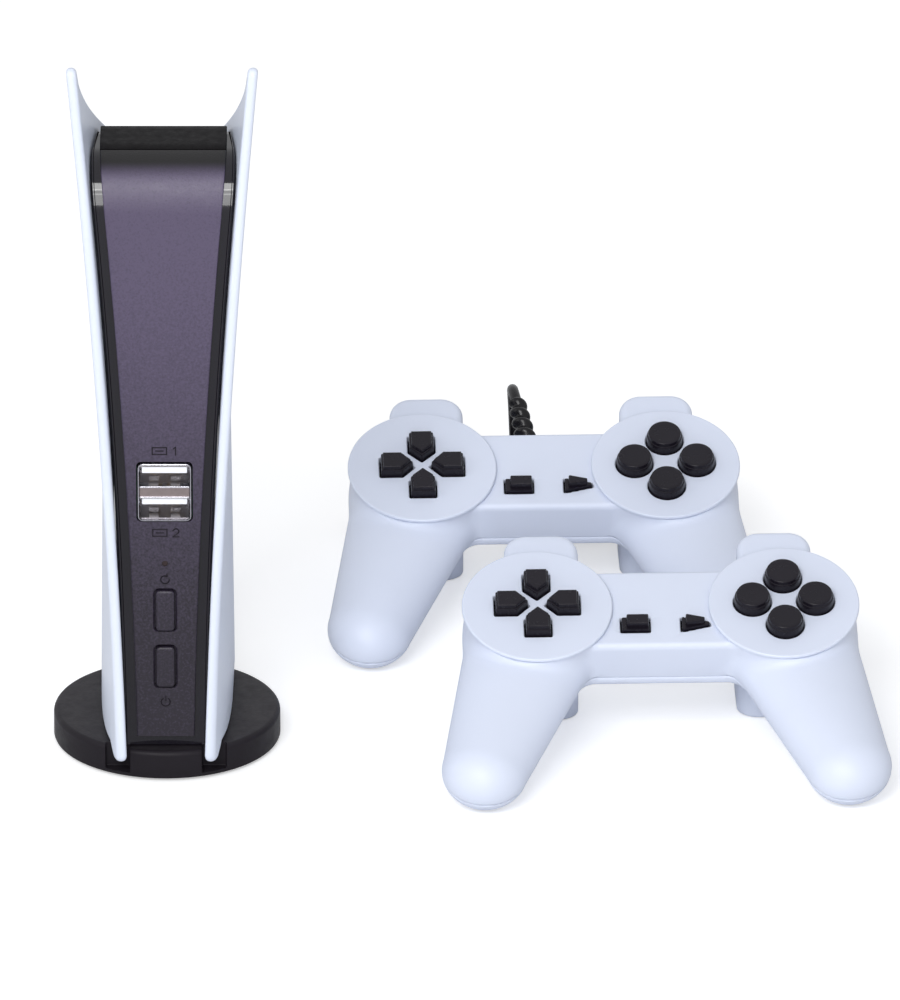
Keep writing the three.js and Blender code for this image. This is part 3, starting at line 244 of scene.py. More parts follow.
def mesh_of(name, vertices, faces, place=None):
    """A smooth closed mesh from points in mm, turned into the row frame by a matrix."""
    points = np.asarray(vertices, float)
    if place is not None:
        points = placed(points, place)
    mesh = bpy.data.meshes.new(name)
    mesh.from_pydata((points * MM).tolist(), [], [list(map(int, face)) for face in faces])
    work = bmesh.new()
    work.from_mesh(mesh)
    bmesh.ops.remove_doubles(work, verts=work.verts, dist=1e-7)
    bmesh.ops.recalc_face_normals(work, faces=work.faces)
    work.to_mesh(mesh)
    work.free()
    smooth(mesh)
    return mesh


def smooth(mesh, angle=38):
    mesh.shade_smooth()
    mesh.set_sharp_from_angle(angle=radians(angle))


def even_normals(piece):
    modifier = piece.modifiers.new("even", "WEIGHTED_NORMAL")
    modifier.keep_sharp = True
    modifier.weight = 100
    return piece


def add_piece(name, shapes, material, body="console", place=None, **claims):
    """One piece from one or more closed shapes, each a pair of vertices and faces."""
    if isinstance(shapes, tuple):
        shapes = [shapes]
    vertices, faces = [], []
    for points, polygons in shapes:
        start = len(vertices)
        vertices.extend([tuple(p) for p in points])
        faces.extend([[start + k for k in polygon] for polygon in polygons])
    return even_normals(link_piece(name, mesh_of(name, vertices, faces, place), material, body, **claims))


def cut_away(piece, shapes):
    """Cuts closed shapes out of a piece's mesh."""
    piece.modifiers.clear()
    cutters = []
    for i, (points, polygons) in enumerate(shapes):
        cutter = bpy.data.objects.new(f"cutter_{i}", mesh_of("cutter", points, polygons))
        scene.collection.objects.link(cutter)
        cutters.append(cutter)
        modifier = piece.modifiers.new("cut", "BOOLEAN")
        modifier.operation = "DIFFERENCE"
        modifier.solver = "EXACT"
        modifier.object = cutter
    bpy.context.view_layer.update()
    ready = piece.evaluated_get(bpy.context.evaluated_depsgraph_get())
    result = bpy.data.meshes.new_from_object(ready)
    piece.modifiers.clear()
    piece.data = result
    for cutter in cutters:
        bpy.data.objects.remove(cutter)
    smooth(result)
    even_normals(piece)


# ---- outlines and shapes
def inset_points(points, distance):
    """A sharp outline, counterclockwise, moved inwards by a distance."""
    points = np.asarray(points, float)
    ahead = np.roll(points, -1, 0) - points
    ahead /= np.linalg.norm(ahead, axis=1)[:, None]
    inward = np.stack([-ahead[:, 1], ahead[:, 0]], 1)
    both = inward + np.roll(inward, 1, 0)
    both /= (1 + (inward * np.roll(inward, 1, 0)).sum(1))[:, None]
    return points + both * distance


def corner_arc(before, at, after, radius, steps):
    """Points on the arc that rounds a corner, from the side of the point before to that of the one after."""
    before, at, after = (np.asarray(p, float) for p in (before, at, after))
    back, on = before - at, after - at
    back, on = back / np.linalg.norm(back), on / np.linalg.norm(on)
    half = np.arccos(np.clip(back @ on, -1, 1)) / 2
    centre = at + (back + on) / np.linalg.norm(back + on) * radius / sin(half)
    x, y = at + back * radius / tan(half) - centre
    sweep = pi - 2 * half
    if back[0] * on[1] > back[1] * on[0]:
        sweep = -sweep
    angles = [atan2(y, x) + sweep * k / steps for k in range(steps + 1)]
    return [(centre[0] + radius * cos(a), centre[1] + radius * sin(a)) for a in angles]


def polygon(points, radius, steps=5):
    """A function from an inset to the rounded outline inside by that much."""
    def outline(inset):
        inner, turn = inset_points(points, inset), max(radius - inset, 0.08)
        corners = zip(np.roll(inner, 1, 0), inner, np.roll(inner, -1, 0))
        return [point for corner in corners for point in corner_arc(*corner, turn, steps)]
    return outline


def rectangle(x0, x1, y0, y1, radius, steps=5):
    return polygon([(x0, y0), (x1, y0), (x1, y1), (x0, y1)], radius, steps)


def circle(x, y, radius, count=64):
    angles = [2 * pi * k / count for k in range(count)]
    return lambda inset: [(x + (radius - inset) * cos(a), y + (radius - inset) * sin(a)) for a in angles]


def rim(top, edge, inset=0.0, steps=4, rise=None):
    """Levels of a rounded edge that ends at a height, from the wall up and over."""
    rise = edge if rise is None else rise
    angles = [pi / 2 * k / steps for k in range(steps + 1)]
    return [(inset + edge * (1 - cos(a)), top - rise * (1 - sin(a))) for a in angles]


def belt(first, second):
    """Quads between two closed rings of points with the same count."""
    pairs = zip(first, first[1:] + first[:1], second[1:] + second[:1], second)
    return list(pairs)


def stack(rings, count, closed=False):
    """Faces between rings of points that follow each other: with two ends, or closed into a ring."""
    rows = [list(range(r * count, (r + 1) * count)) for r in range(rings)]
    if closed:
        return [face for a, b in zip(rows, rows[1:] + rows[:1]) for face in belt(a, b)]
    faces = [face for a, b in zip(rows, rows[1:]) for face in belt(a, b)]
    return faces + [tuple(rows[0][::-1]), tuple(rows[-1])]


def tiers(outline, levels, axis="z"):
    """A closed shape from levels of (inset, height), pushed along z, or along y towards the back, or x."""
    vertices = []
    for inset, height in levels:
        for a, b in outline(inset):
            vertices.append({"z": (a, b, height), "y": (a, height, b), "x": (height, a, b)}[axis])
    return vertices, stack(len(levels), len(vertices) // len(levels))


def block(x, y, z, edge=0.2, corner=0.3, axis="z"):
    """A box between (low, high) along each axis, with rounded corners and edges."""
    (a0, a1), (b0, b1), (c0, c1) = {"z": (x, y, z), "y": (x, z, y), "x": (y, z, x)}[axis]
    levels = [(edge, c0), (edge * 0.3, c0 + edge * 0.3), (0, c0 + edge)]
    levels += rim(c1, edge, 0, 3)
    return tiers(rectangle(a0, a1, b0, b1, max(corner, edge)), levels, axis)


def rod(centre, radius, start, end, axis="z", count=32):
    return tiers(circle(*centre, radius, count), [(0, start), (0, end)], axis)


# ---- slabs between two curved walls
def slab(sides, wall_high, wall_low, edge, columns=(), steps=3):
    """A solid between x = wall_low(y, z) and x = wall_high(y, z), inside a loop of four sides in (y, z).

    sides are bottom (front to back), back (up), top (front to back) and front (up). columns are pairs of
    functions for extra lines across the belt: where it runs, x(y, z), and how far it stands out."""
    bottom, back, top, front = [np.asarray(side, float) for side in sides]
    across, up = len(bottom) - 1, len(front) - 1
    loop = np.concatenate([bottom[:-1], back[:-1], top[::-1][:-1], front[::-1][:-1]])
    out = -(inset_points(loop, 1) - loop)
    out /= np.linalg.norm(out, axis=1)[:, None]
    vertices, rings = [], []

    def ring(points, x_of):
        rings.append(list(range(len(vertices), len(vertices) + len(points))))
        vertices.extend([(x_of(y, z), y, z) for y, z in points])

    def edge_ring(wall, side, angle):
        ring(inset_points(loop, edge * (1 - cos(angle))),
             lambda y, z: wall(y, z) - side * edge * (1 - sin(angle)))

    angles = [pi / 2 * (1 - k / steps) for k in range(steps + 1)]
    for angle in angles:
        edge_ring(wall_high, 1, angle)
    for x_of, proud in columns:
        height = np.array([proud(y, z) for y, z in loop])
        ring(loop + out * height[:, None], x_of)
    for angle in angles[::-1]:
        edge_ring(wall_low, -1, angle)
    faces = [face for first, second in zip(rings, rings[1:]) for face in belt(first, second)]

    around = ([(i, 0) for i in range(across)] + [(across, j) for j in range(up)]
              + [(i, up) for i in range(across, 0, -1)] + [(0, j) for j in range(up, 0, -1)])
    u = np.linspace(0, 1, across + 1)[:, None, None]
    v = np.linspace(0, 1, up + 1)[None, :, None]
    for boundary, wall in ((rings[0], wall_high), (rings[-1], wall_low)):
        index = dict(zip(around, boundary))
        spot = np.zeros((across + 1, up + 1, 2))
        for place, vertex in index.items():
            spot[place] = vertices[vertex][1:]
        corners = ((1 - u) * (1 - v) * spot[0, 0] + u * (1 - v) * spot[-1, 0]
                   + (1 - u) * v * spot[0, -1] + u * v * spot[-1, -1])
        field = (1 - v) * spot[:, :1] + v * spot[:, -1:] + (1 - u) * spot[:1] + u * spot[-1:] - corners
        for i in range(1, across):
            for j in range(1, up):
                y, z = field[i, j]
                index[i, j] = len(vertices)
                vertices.append((wall(y, z), y, z))
        faces += [(index[i, j], index[i + 1, j], index[i + 1, j + 1], index[i, j + 1])
                  for i in range(across) for j in range(up)]
    return vertices, faces


def line(start, end, count):
    start, end = np.array(start), np.array(end)
    return [tuple(start + (end - start) * k / count) for k in range(count + 1)]


def corner_side(first, last, count, steps=4):
    """The side of an outline between the middles of two rounded corners, each (before, at, after, radius)."""
    one, two = corner_arc(*first, 2 * steps), corner_arc(*last, 2 * steps)
    return one[steps:-1] + line(one[-1], two[0], count) + two[1:steps + 1]


# ---- console
HEIGHT = 209
PANEL_FRONT, PANEL_BACK, PANEL_THICK, PANEL_EDGE = -31.5, 28, 2.8, 1.25
PANEL_BACK_TOP, PANEL_TIP, PANEL_REST, NOTCH_BACK = 164, 2.4, 8.9, -24.5
FRONT_HALF = (12.6, 17.7, 25.7)  # half widths at the foot, halfway up and at the top
BACK_HALF = (18.1, 16.9, 14.5)
COVER_HALF = (7.5, 11.3, 19.8)
BODY_FRONT, BODY_BACK, BODY_BOTTOM, BODY_TOP = -26, 26, 8.9, 177.3
BODY_ARC, FLAT_END, BACK_TOP, BODY_WALL = 13, -2, 160, 1.8
ARC_Y, ARC_Z = BODY_FRONT + BODY_ARC, BODY_TOP - BODY_ARC
SLOPE = atan2(BODY_TOP - BACK_TOP, BODY_BACK - FLAT_END)
RIDGE = [(0.9, 0), (0.84, 0.22), (0.74, 0.22), (0.68, 0), (0.05, 0)]  # (share of the strip, height)
SKIN_GAP, SKIN = 0.3, 1.2
FACE_Y = BODY_FRONT - SKIN_GAP - SKIN
COVER_BOTTOM, SEAM_ANGLE, SEAM = 12, radians(75), 0.4
LUG_Y, LUG_RADIUS, LUG_HEIGHTS = 4, 2.2, (44, 135)
SCREW_HOLE = 1.8
KEY_Z = {"reset": 48.9, "power": 32.4}
KEY_HALF, KEY_GAP = (2.5, 5.85), 0.4
LAMP_Z = 62.7
JACK_Z, VIDEO_JACK = 34, (-4.5, 4.5, 48.9, 53.1)
STAND_RADIUS, STAND_TOP = 30.5, 8.6
USB_HALF, USB_LOW, USB_HIGH, USB_FACE, USB_BACK = 7.2, 75.3, 92.1, FACE_Y - 0.7, FACE_Y + 12.3
USB_WALL, USB_MOUTH, USB_DIVIDER = 0.9, 5.9, 3.2
MARK_WIDTH, MARK_HEIGHT = 0.36, 0.14


def bow(values, z):
    t = z / HEIGHT
    return values[0] * (1 - t) * (1 - 2 * t) + values[1] * 4 * t * (1 - t) + values[2] * t * (2 * t - 1)


def panel_share(y):
    return (y - PANEL_FRONT) / (PANEL_BACK - PANEL_FRONT)


def panel_half(y, z):
    share = min(1, max(0, panel_share(y)))
    low = max(0, 1 - z / HEIGHT) ** 2
    bend = low * (1 - (1 - share) ** 5) + (1 - low) * share ** 2
    front, back = bow(FRONT_HALF, z), bow(BACK_HALF, z)
    return front + (back - front) * bend


def body_half(y, z):
    return panel_half(y, z) - PANEL_THICK - 0.3


def cover_half(y, z):
    return min(bow(COVER_HALF, z), body_half(y, z) - 0.8)


def mirrored(half, less=0.0):
    """A pair of walls at both sides of the middle."""
    return lambda y, z: half(y, z) - less, lambda y, z: less - half(y, z)


def panel_top(share):
    """A place on a panel's top edge, which falls fastest behind the rounded front tip."""
    return (PANEL_FRONT + (PANEL_BACK - PANEL_FRONT) * share,
            HEIGHT + (PANEL_BACK_TOP - HEIGHT) * share ** 0.8 + 3.6 * max(0, 1 - share / 0.14) ** 2)


def side_panels():
    tip, top, kink = (PANEL_FRONT, PANEL_TIP), panel_top(0), (NOTCH_BACK, PANEL_REST)
    back_high, back_low = (PANEL_BACK, PANEL_BACK_TOP), (PANEL_BACK, PANEL_REST)
    at_tip, at_top = (top, tip, kink, 2.4), (panel_top(0.1), top, tip, 1.9)
    at_high, at_low = (back_low, back_high, panel_top(0.9), 3.0), (kink, back_low, back_high, 2.0)
    front = corner_side(at_top, at_tip, 64)[::-1]
    back = corner_side(at_low, at_high, 64)
    straight = corner_side(at_high, at_top, 2)[::-1]
    start = panel_share(straight[4][0])
    curve = [panel_top(start + (0.96 - start) * k / 21) for k in range(1, 22)]
    upper = straight[:5] + curve + straight[-5:]
    rise = corner_side(at_tip, at_low, 2)
    lower = rise[:5] + line(rise[4], kink, 6)[1:] + line(kink, rise[-5], 16)[1:] + rise[-4:]
    inside = lambda y, z: panel_half(y, z) - PANEL_THICK
    shapes = [slab([lower, back, upper, front], panel_half, inside, PANEL_EDGE, steps=4)]
    for z in LUG_HEIGHTS:
        root = panel_half(LUG_Y, z) - PANEL_THICK / 2
        shapes.append(rod((LUG_Y, z), LUG_RADIUS, root - 4.4, root, "x", 24))
    for name, side in (("right", 1), ("left", -1)):
        sided = [([(side * x, y, z) for x, y, z in points], polygons) for points, polygons in shapes]
        add_piece(f"{name}_panel", sided, "white_plastic", replaces=[f"{name}_side_panel"])


def arc_points(grow, first, last, count):
    """Points on the curve from the front into the top, angles up from the front."""
    radius = BODY_ARC + grow
    angles = [first + (last - first) * k / count for k in range(count + 1)]
    return [(ARC_Y - radius * cos(a), ARC_Z + radius * sin(a)) for a in angles]


def top_points(grow, back_y, counts=(5, 14)):
    """From the end of the curve over the flat top and down the slope to the back."""
    flat_end = FLAT_END + grow * tan(SLOPE / 2)
    top = BODY_TOP + grow
    back = (back_y, top - (back_y - flat_end) * tan(SLOPE))
    return line((ARC_Y, top), (flat_end, top), counts[0]) + line((flat_end, top), back, counts[1])[1:]


def body_sides(inset, front_count, arc_count, top_counts):
    """The body's outline from the side, or the same further in."""
    low, high = (BODY_FRONT + inset, BODY_BOTTOM + inset), (BODY_FRONT + inset, ARC_Z)
    back_y = BODY_BACK - inset
    front = line(low, high, front_count) + arc_points(-inset, 0, pi / 2, arc_count)[1:]
    top = top_points(-inset, back_y, top_counts)
    back = line((back_y, low[1]), top[-1], len(front) - 1)
    bottom = line(low, (back_y, low[1]), len(top) - 1)
    return [bottom, back, top, front]


def housing():
    def rib(share, height, side):
        def x_of(y, z):
            inner, outer = cover_half(y, z), body_half(y, z)
            return side * (inner + (outer - inner) * share)
        return x_of, lambda y, z: height * min(1, (body_half(y, z) - cover_half(y, z)) / 2)

    columns = [rib(share, height, 1) for share, height in RIDGE]
    columns += [(lambda y, z: 0, lambda y, z: 0)]
    columns += [rib(share, height, -1) for share, height in RIDGE[::-1]]
    outer = slab(body_sides(0, 36, 24, (5, 14)), *mirrored(body_half), 0.7, columns)
    piece = add_piece("housing", outer, "gloss_black", replaces=["rear_housing"])
    hollow = slab(body_sides(BODY_WALL, 6, 8, (2, 4)), *mirrored(body_half, BODY_WALL), 0.4, steps=1)
    tools = [hollow, block((-7.6, 7.6), (-29, -23.9), (22, 96), 0.1, 0.2),
             rod((0, 0), SCREW_HOLE, 5, 14), rod((0, JACK_Z), 4.3, 20, 29, "y", 40),
             tiers(rectangle(*VIDEO_JACK, 1.2), [(0, 20), (0, 29)], "y")]
    tools += [rod((LUG_Y, z), LUG_RADIUS + 0.3, -40, 40, "x", 24) for z in LUG_HEIGHTS]
    cut_away(piece, tools)


def skin(name, material, outline, **claims):
    """A sheet over the front and top of the body. The outline is a function of the height over the body."""
    outer, inner = outline(SKIN_GAP + SKIN), outline(SKIN_GAP)
    sides = [line(outer[0], inner[0], 2), inner, line(outer[-1], inner[-1], 2), outer]
    columns = [((lambda share: lambda y, z: cover_half(y, z) * share)(0.94 - 0.235 * k), lambda y, z: 0)
               for k in range(9)]
    return add_piece(name, slab(sides, *mirrored(cover_half), 0.3, columns), material, **claims)


def front_cover():
    piece = skin("cover", "cover_plastic", replaces=["front_cover"], outline=lambda grow: (
        line((BODY_FRONT - grow, COVER_BOTTOM), (BODY_FRONT - grow, ARC_Z), 36)
        + arc_points(grow, 0, SEAM_ANGLE, 20)[1:]))
    opening = rectangle(-USB_HALF - 0.35, USB_HALF + 0.35, USB_LOW - 0.35, USB_HIGH + 0.35, 1.3)
    tools = [tiers(opening, [(0, FACE_Y - 3), (0, -20)], "y")]
    flare = [(-0.6, FACE_Y - 3), (-0.35, FACE_Y), (0, FACE_Y + 0.35), (0, -20)]
    tools += [tiers(key_outline(z, KEY_GAP, 1.3), flare, "y") for z in KEY_Z.values()]
    tools.append(rod((0, LAMP_Z), 0.85, -40, -20, "y"))
    cut_away(piece, tools)


def top_cap():
    def outline(grow):
        start = SEAM_ANGLE + SEAM / (BODY_ARC + grow)
        return arc_points(grow, start, pi / 2, 6)[:-1] + top_points(grow, BODY_BACK - 0.3)
    skin("cap", "cap_plastic", outline, slot="cover_plastic", replaces=["top_cap"])


def stand():
    levels = [(4.2, 1.5), (4.2, 0.6), (0.6, 0.6), (0.18, 0.78), (0, 1.2), (0, 4)]
    levels += rim(STAND_TOP, 1.4, 0, 6) + [(3, STAND_TOP), (12, STAND_TOP)]
    disc = tiers(circle(0, 0, STAND_RADIUS, 128), levels)
    piece = add_piece("stand", disc, "stand_plastic", replaces=["stand_disc"])
    outer = panel_half(NOTCH_BACK, STAND_TOP) + 1.2
    inner = panel_half(PANEL_FRONT, PANEL_TIP) - PANEL_THICK - 0.3
    tools = [block(sides, (-34, -23.9), (1.8, 12), 0.3, 0.6) for sides in ((inner, outer), (-outer, -inner))]
    cut_away(piece, tools + [rod((0, 0), SCREW_HOLE, 0, 12), rod((0, 0), 3.3, 0, 4.1)])


def usb_ports():
    face, back, inside = USB_FACE, USB_BACK, USB_HALF - 0.5

    def plate(front, end, low, high, *rounding):
        """A rounded plate across the inside of the ports."""
        return block((-inside, inside), (face + front, end), (low, high), *rounding, "y")

    tube = tiers(rectangle(-USB_HALF, USB_HALF, USB_LOW, USB_HIGH, 1.5, 8),
                 [(0.42, face), (0.12, face + 0.12), (0, face + 0.45), (0, back)], "y")
    lip = tiers(rectangle(-inside, inside, USB_LOW + 0.5, USB_HIGH - 0.5, 0.9, 6),
                [(-0.2, face - 2), (-0.2, face), (0.05, face + 0.4), (0.05, back - 0.9)], "y")
    cut_away(add_piece("usb_frame", tube, "steel", replaces=["usb_shell"]), [lip])
    for storey, name in enumerate(("lower", "upper")):
        floor = USB_LOW + USB_WALL + storey * (USB_MOUTH + USB_DIVIDER)
        ceiling = floor + USB_MOUTH
        tongue = block((-6.05, 6.05), (face + 0.9, back - 1.2), (ceiling - 2.15, ceiling - 0.35),
                       0.15, 0.25, "y")
        add_piece(f"usb_insulator_{name}", tongue, "white_insulator", replaces=[f"usb_tongue_{name}"])
        pins = [block((x - 0.5, x + 0.5), (face + 1.5, back - 2), (ceiling - 2.42, ceiling - 2.1), 0.08, 0.12)
                for x in (-3.5, -1.2, 1.2, 3.5)]
        add_piece(f"usb_contacts_{name}", pins, "contact_gold", slot="steel")
        springs = [wedge((x - 1.3, x + 1.3), (face + 0.7, face + 7), floor - 0.25, 0.16, 0.85)
                   for x in (-2.9, 2.9)]
        springs += [plate(0.75, back - 1, low, high, 0.05, 0.1)
                    for low, high in ((floor - 0.35, floor - 0.05), (ceiling - 0.25, ceiling + 0.02))]
        add_piece(f"usb_springs_{name}", springs, "dark_steel", slot="steel")
    low = USB_LOW + USB_WALL + USB_MOUTH + 0.1
    high = low + USB_DIVIDER - 0.2
    add_piece("usb_divider", plate(0.55, face + 3, low, high, 0.25, 0.4), "divider_steel", slot="steel")
    lips = [plate(0.2, face + 3, z - 0.28, z + 0.28, 0.2, 0.22) for z in (low, high)]
    add_piece("usb_divider_lips", lips, "steel")


def wedge(sides, run, floor, low, high):
    """A thin spring leaf that rises towards the back and dips at its front."""
    rows = [(run[0], low), (run[0] + 0.8, high * 0.9), (run[0] + 1.6, high), (run[0] + 3, high * 0.8),
            (run[1], low)]
    points = []
    for along, height in rows:
        for thick in (0, 0.2):
            points += [(x, along, floor + height + thick) for x in (sides if not thick else sides[::-1])]
    return points, stack(len(rows), 4)


def key_outline(z, grow=0.0, corner=1.0, steps=5):
    """A console key's outline round its height, or one further out."""
    across, up = KEY_HALF
    return rectangle(-across - grow, across + grow, z - up - grow, z + up + grow, corner, steps)


def console_buttons():
    for name, z in KEY_Z.items():
        levels = [(0.75, FACE_Y - 0.5), (0.4, FACE_Y - 0.46), (0.12, FACE_Y - 0.3), (0, FACE_Y), (0, -25.9)]
        head = tiers(key_outline(z, steps=6), levels, "y")
        flange = tiers(key_outline(z, 1), [(0, -26), (0, -24.8)], "y")
        stem = rod((0, z), 1.7, -24.9, -20, "y", 24)
        add_piece(f"{name}_key", [head, flange, stem], "cover_plastic", f"{name}_button",
                  replaces=[f"{name}_button"])


def stroke(points):
    """A raised line on the cover through points (x, z), with round ends."""
    shapes = []
    levels = [(0, FACE_Y + 0.2), (0, FACE_Y - MARK_HEIGHT * 0.4), (0.08, FACE_Y - MARK_HEIGHT)]
    for (x0, z0), (x1, z1) in zip(points, points[1:]):
        turn = atan2(z1 - z0, x1 - x0)
        outline = []
        for x, z, start in ((x0, z0, turn + pi / 2), (x1, z1, turn - pi / 2)):
            angles = [start + pi * k / 8 for k in range(9)]
            outline += [(x + MARK_WIDTH / 2 * cos(a), z + MARK_WIDTH / 2 * sin(a)) for a in angles]
        shapes.append(tiers(lambda inset: inset_points(outline, inset), levels, "y"))
    return shapes


def curl(x, z, radius, first, last, count=20):
    angles = [radians(first + (last - first) * k / count) for k in range(count + 1)]
    return [(x + radius * cos(a), z + radius * sin(a)) for a in angles]


def marks():
    """Plain marks in place of lettering: a socket with 1 or 2, a turning arrow and a standby sign. Their dark
    colour is painted shade, standing for the shade of engraved lines.
    """
    one = [(2.4, 0.6), (3.0, 1.15), (3.0, -1.15)]
    two = [(2.2, 0.65), *curl(3.0, 0.45, 0.75, 160, -40, 8), (2.2, -1.15), (3.8, -1.15)]
    socket = [(-3.2, -1.0), (0.6, -1.0), (0.6, 1.0), (-3.2, 1.0), (-3.2, -1.0)]
    slit = [(-2.3, 0), (-0.3, 0)]
    arrow = [(0.5, 1.6), (0.62, 0.98), (-0.05, 0.9)]
    groups = {"mark_one": (95.6, [socket, slit, one]), "mark_two": (71.7, [socket, slit, two]),
              "mark_reset": (58.0, [curl(0, 0, 1.15, 60, 360), arrow]),
              "mark_power": (22.1, [curl(0, 0, 1.2, 125, 415), [(0, 0.3), (0, 1.6)]])}
    for name, (height, lines) in groups.items():
        shapes = [shape for points in lines for shape in stroke([(x, height + z) for x, z in points])]
        # the marks' dark material is painted shade of engraved lines
        add_piece(name, shapes, "mark", slot="cover_plastic")


def assign(*nodes):
    """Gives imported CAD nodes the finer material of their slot."""
    slots = {part["node"]: part["material_slot"] for part in frame["record"]["subparts"]}
    for node in nodes:
        materials = frame["nodes"][node].data.materials
        materials.clear()
        materials.append(MATERIAL[slots[node]])


# ---- controllers
SPACING = 66.4
DISC, DISC_EDGE, RAISE = 20.3, 0.5, 1.3
CONTACT, ROUND_RADIUS, ROUND_TOP = 8.5, 4.95, 3.4
CROSS_TIP, CROSS_SHOULDER, CROSS_OUTER, CROSS_HALF, CROSS_TOP = 2.3, 3.2, 11.3, 3.4, 3.2
OPTION_X = {"select": -7, "start": 9.2}
OPTION_Y, OPTION_WIDTH, OPTION_DEPTH = -6.6, 7.4, 4.8
COLUMN_X, COLUMN_FRONT, COLUMN_BACK, SHEAR = SPACING / 2 - 1.8, 4, 29, 0.21
SHOULDER = {"upper": (-26.5, -16), "lower": (-40.5, -30)}
PARTING, CASE_WALL, SCREW_Y = -13.5, 1.8, 5
GRIP_HEIGHT, GRIP_RUN = -11.3, (15.5, -49.5, -0.7)  # from the middle of a pod to a grip's end
GRIP_WIDE, GRIP_HIGH, GRIP_END = (18.6, 11.6), (9.8, 9.1), 11.6
RELIEF_AT, RELIEF_LEAN, RELIEF_LONG = (-3.8, 13.8, -7.2), radians(8), 18
PIVOT = (-SPACING / 2, 0, -4.55)
INLET = {"rear": 2.9, "front": 3.6}
SHELLS = {"top": ((-63, -66, -14.5), (63, 32, 0.5), 0.5), "bottom": ((-63, -66, -56), (63, 32, -12), 0.6)}


def pad_place(prefix):
    """A controller's own frame (x right, y back, z out of its face) in the row frame, in mm."""
    pitch, roll = joints[f"{prefix}_direction_pitch"], joints[f"{prefix}_direction_roll"]
    x, y = Vector(pitch["axis"]).normalized(), Vector(roll["axis"]).normalized()
    turn = Matrix((x, y, x.cross(y))).transposed()
    origin = Vector(pitch["pos_m"]) / MM - turn @ Vector(PIVOT)
    return Matrix.Translation(origin) @ turn.to_4x4()


PLACE = {prefix: pad_place(prefix) for prefix in INLET}
TABLE = PLACE["rear"][2]  # height over the table from a controller's own frame


def meet(a, b, width):
    """The smaller of two distances, rounded where they meet."""
    share = np.maximum(width - np.abs(a - b), 0) / width
    return np.minimum(a, b) - share * share * width / 4


def rounded_corner(a, b, radius):
    """Distance to an edge of radius between two faces at distances a and b."""
    a, b = a + radius, b + radius
    return np.minimum(np.maximum(a, b), 0) + np.hypot(np.maximum(a, 0), np.maximum(b, 0)) - radius


def grip_field(x, y, z):
    """Distance to a grip, an egg drawn out along its run. x is from its pod's middle."""
    out, back, rise = GRIP_RUN
    length = hypot(out, back)
    ux, uy, uz = (v / hypot(length, rise) for v in GRIP_RUN)
    z = z - GRIP_HEIGHT
    along = x * ux + y * uy + z * uz
    side = (y * out - x * back) / length
    lifted = z - along * uz
    beyond = np.maximum(along - length, 0)
    share = np.clip(along / length, 0, 1)
    wide, high = (a + (b - a) * share for a, b in (GRIP_WIDE, GRIP_HIGH))
    near = np.sqrt((side / wide) ** 2 + (lifted / high) ** 2 + (beyond / GRIP_END) ** 2)
    steep = np.sqrt((side / wide ** 2) ** 2 + (lifted / high ** 2) ** 2 + (beyond / GRIP_END ** 2) ** 2)
    return np.maximum(near * (near - 1) / np.maximum(steep, 1e-6), -along - 4)


def case_field(x, y, z):
    """Distance to the outside of a controller's case."""
    across = np.abs(x)
    from_pod = across - SPACING / 2
    pod = rounded_corner(np.hypot(from_pod, y) - (DISC - 0.7), -21 - z, 8)
    bar = rounded_corner(np.maximum(y - 13.8, -14.4 - y), np.maximum(z + RAISE, -17 - z), 1.8)
    middle, half = (COLUMN_FRONT + COLUMN_BACK) / 2, (COLUMN_BACK - COLUMN_FRONT) / 2
    walls = rounded_corner(np.abs(across - COLUMN_X) - 10, np.abs(y - SHEAR * z - middle) - half, 6)
    case = meet(pod, grip_field(from_pod, y, z), 3.0)
    case = meet(case, np.maximum(bar, across - 33), 1.6)
    case = meet(case, rounded_corner(walls, z + 1.8, 2), 1.6)
    over_table = TABLE[0] * x + TABLE[1] * y + TABLE[2] * z + TABLE[3]
    return np.maximum(-meet(-case, over_table, 0.8), z + RAISE + 0.05)


def disc_seat(x, y, z):
    return np.maximum(np.hypot(np.abs(x) - SPACING / 2, y) - 18.3, -3.6 - z)


def option_tool(x, y, z):
    """The openings of the select and start keys."""
    dy = np.abs(y - OPTION_Y)
    select = np.maximum(np.abs(x - OPTION_X["select"]) - 4.1, dy - 2.8)
    slope = atan2(OPTION_DEPTH / 2 - 0.5, OPTION_WIDTH)
    left, right = (OPTION_X["start"] + side * (OPTION_WIDTH / 2 + 0.4) for side in (-1, 1))
    point = (x - right + 0.4) * sin(slope) + (dy - 0.9) * cos(slope)
    start = np.maximum(np.maximum(left - x, x - right), point)
    return np.maximum(np.minimum(select, start), -5 - z)


def shoulder_tool(x, y, z):
    slots = []
    for low, high in SHOULDER.values():
        middle, half = (low + high) / 2, (high - low) / 2
        slots.append(rounded_corner(np.abs(np.abs(x) - COLUMN_X) - 6.9, np.abs(z - middle) - half - 0.4, 2.9))
    return np.maximum(np.minimum(*slots), COLUMN_BACK - 4.8 + SHEAR * z - y)


def pillar(x, y, radius, bottom, top):
    return lambda px, py, z: np.maximum(np.hypot(px - x, py - y) - radius, np.maximum(bottom - z, z - top))


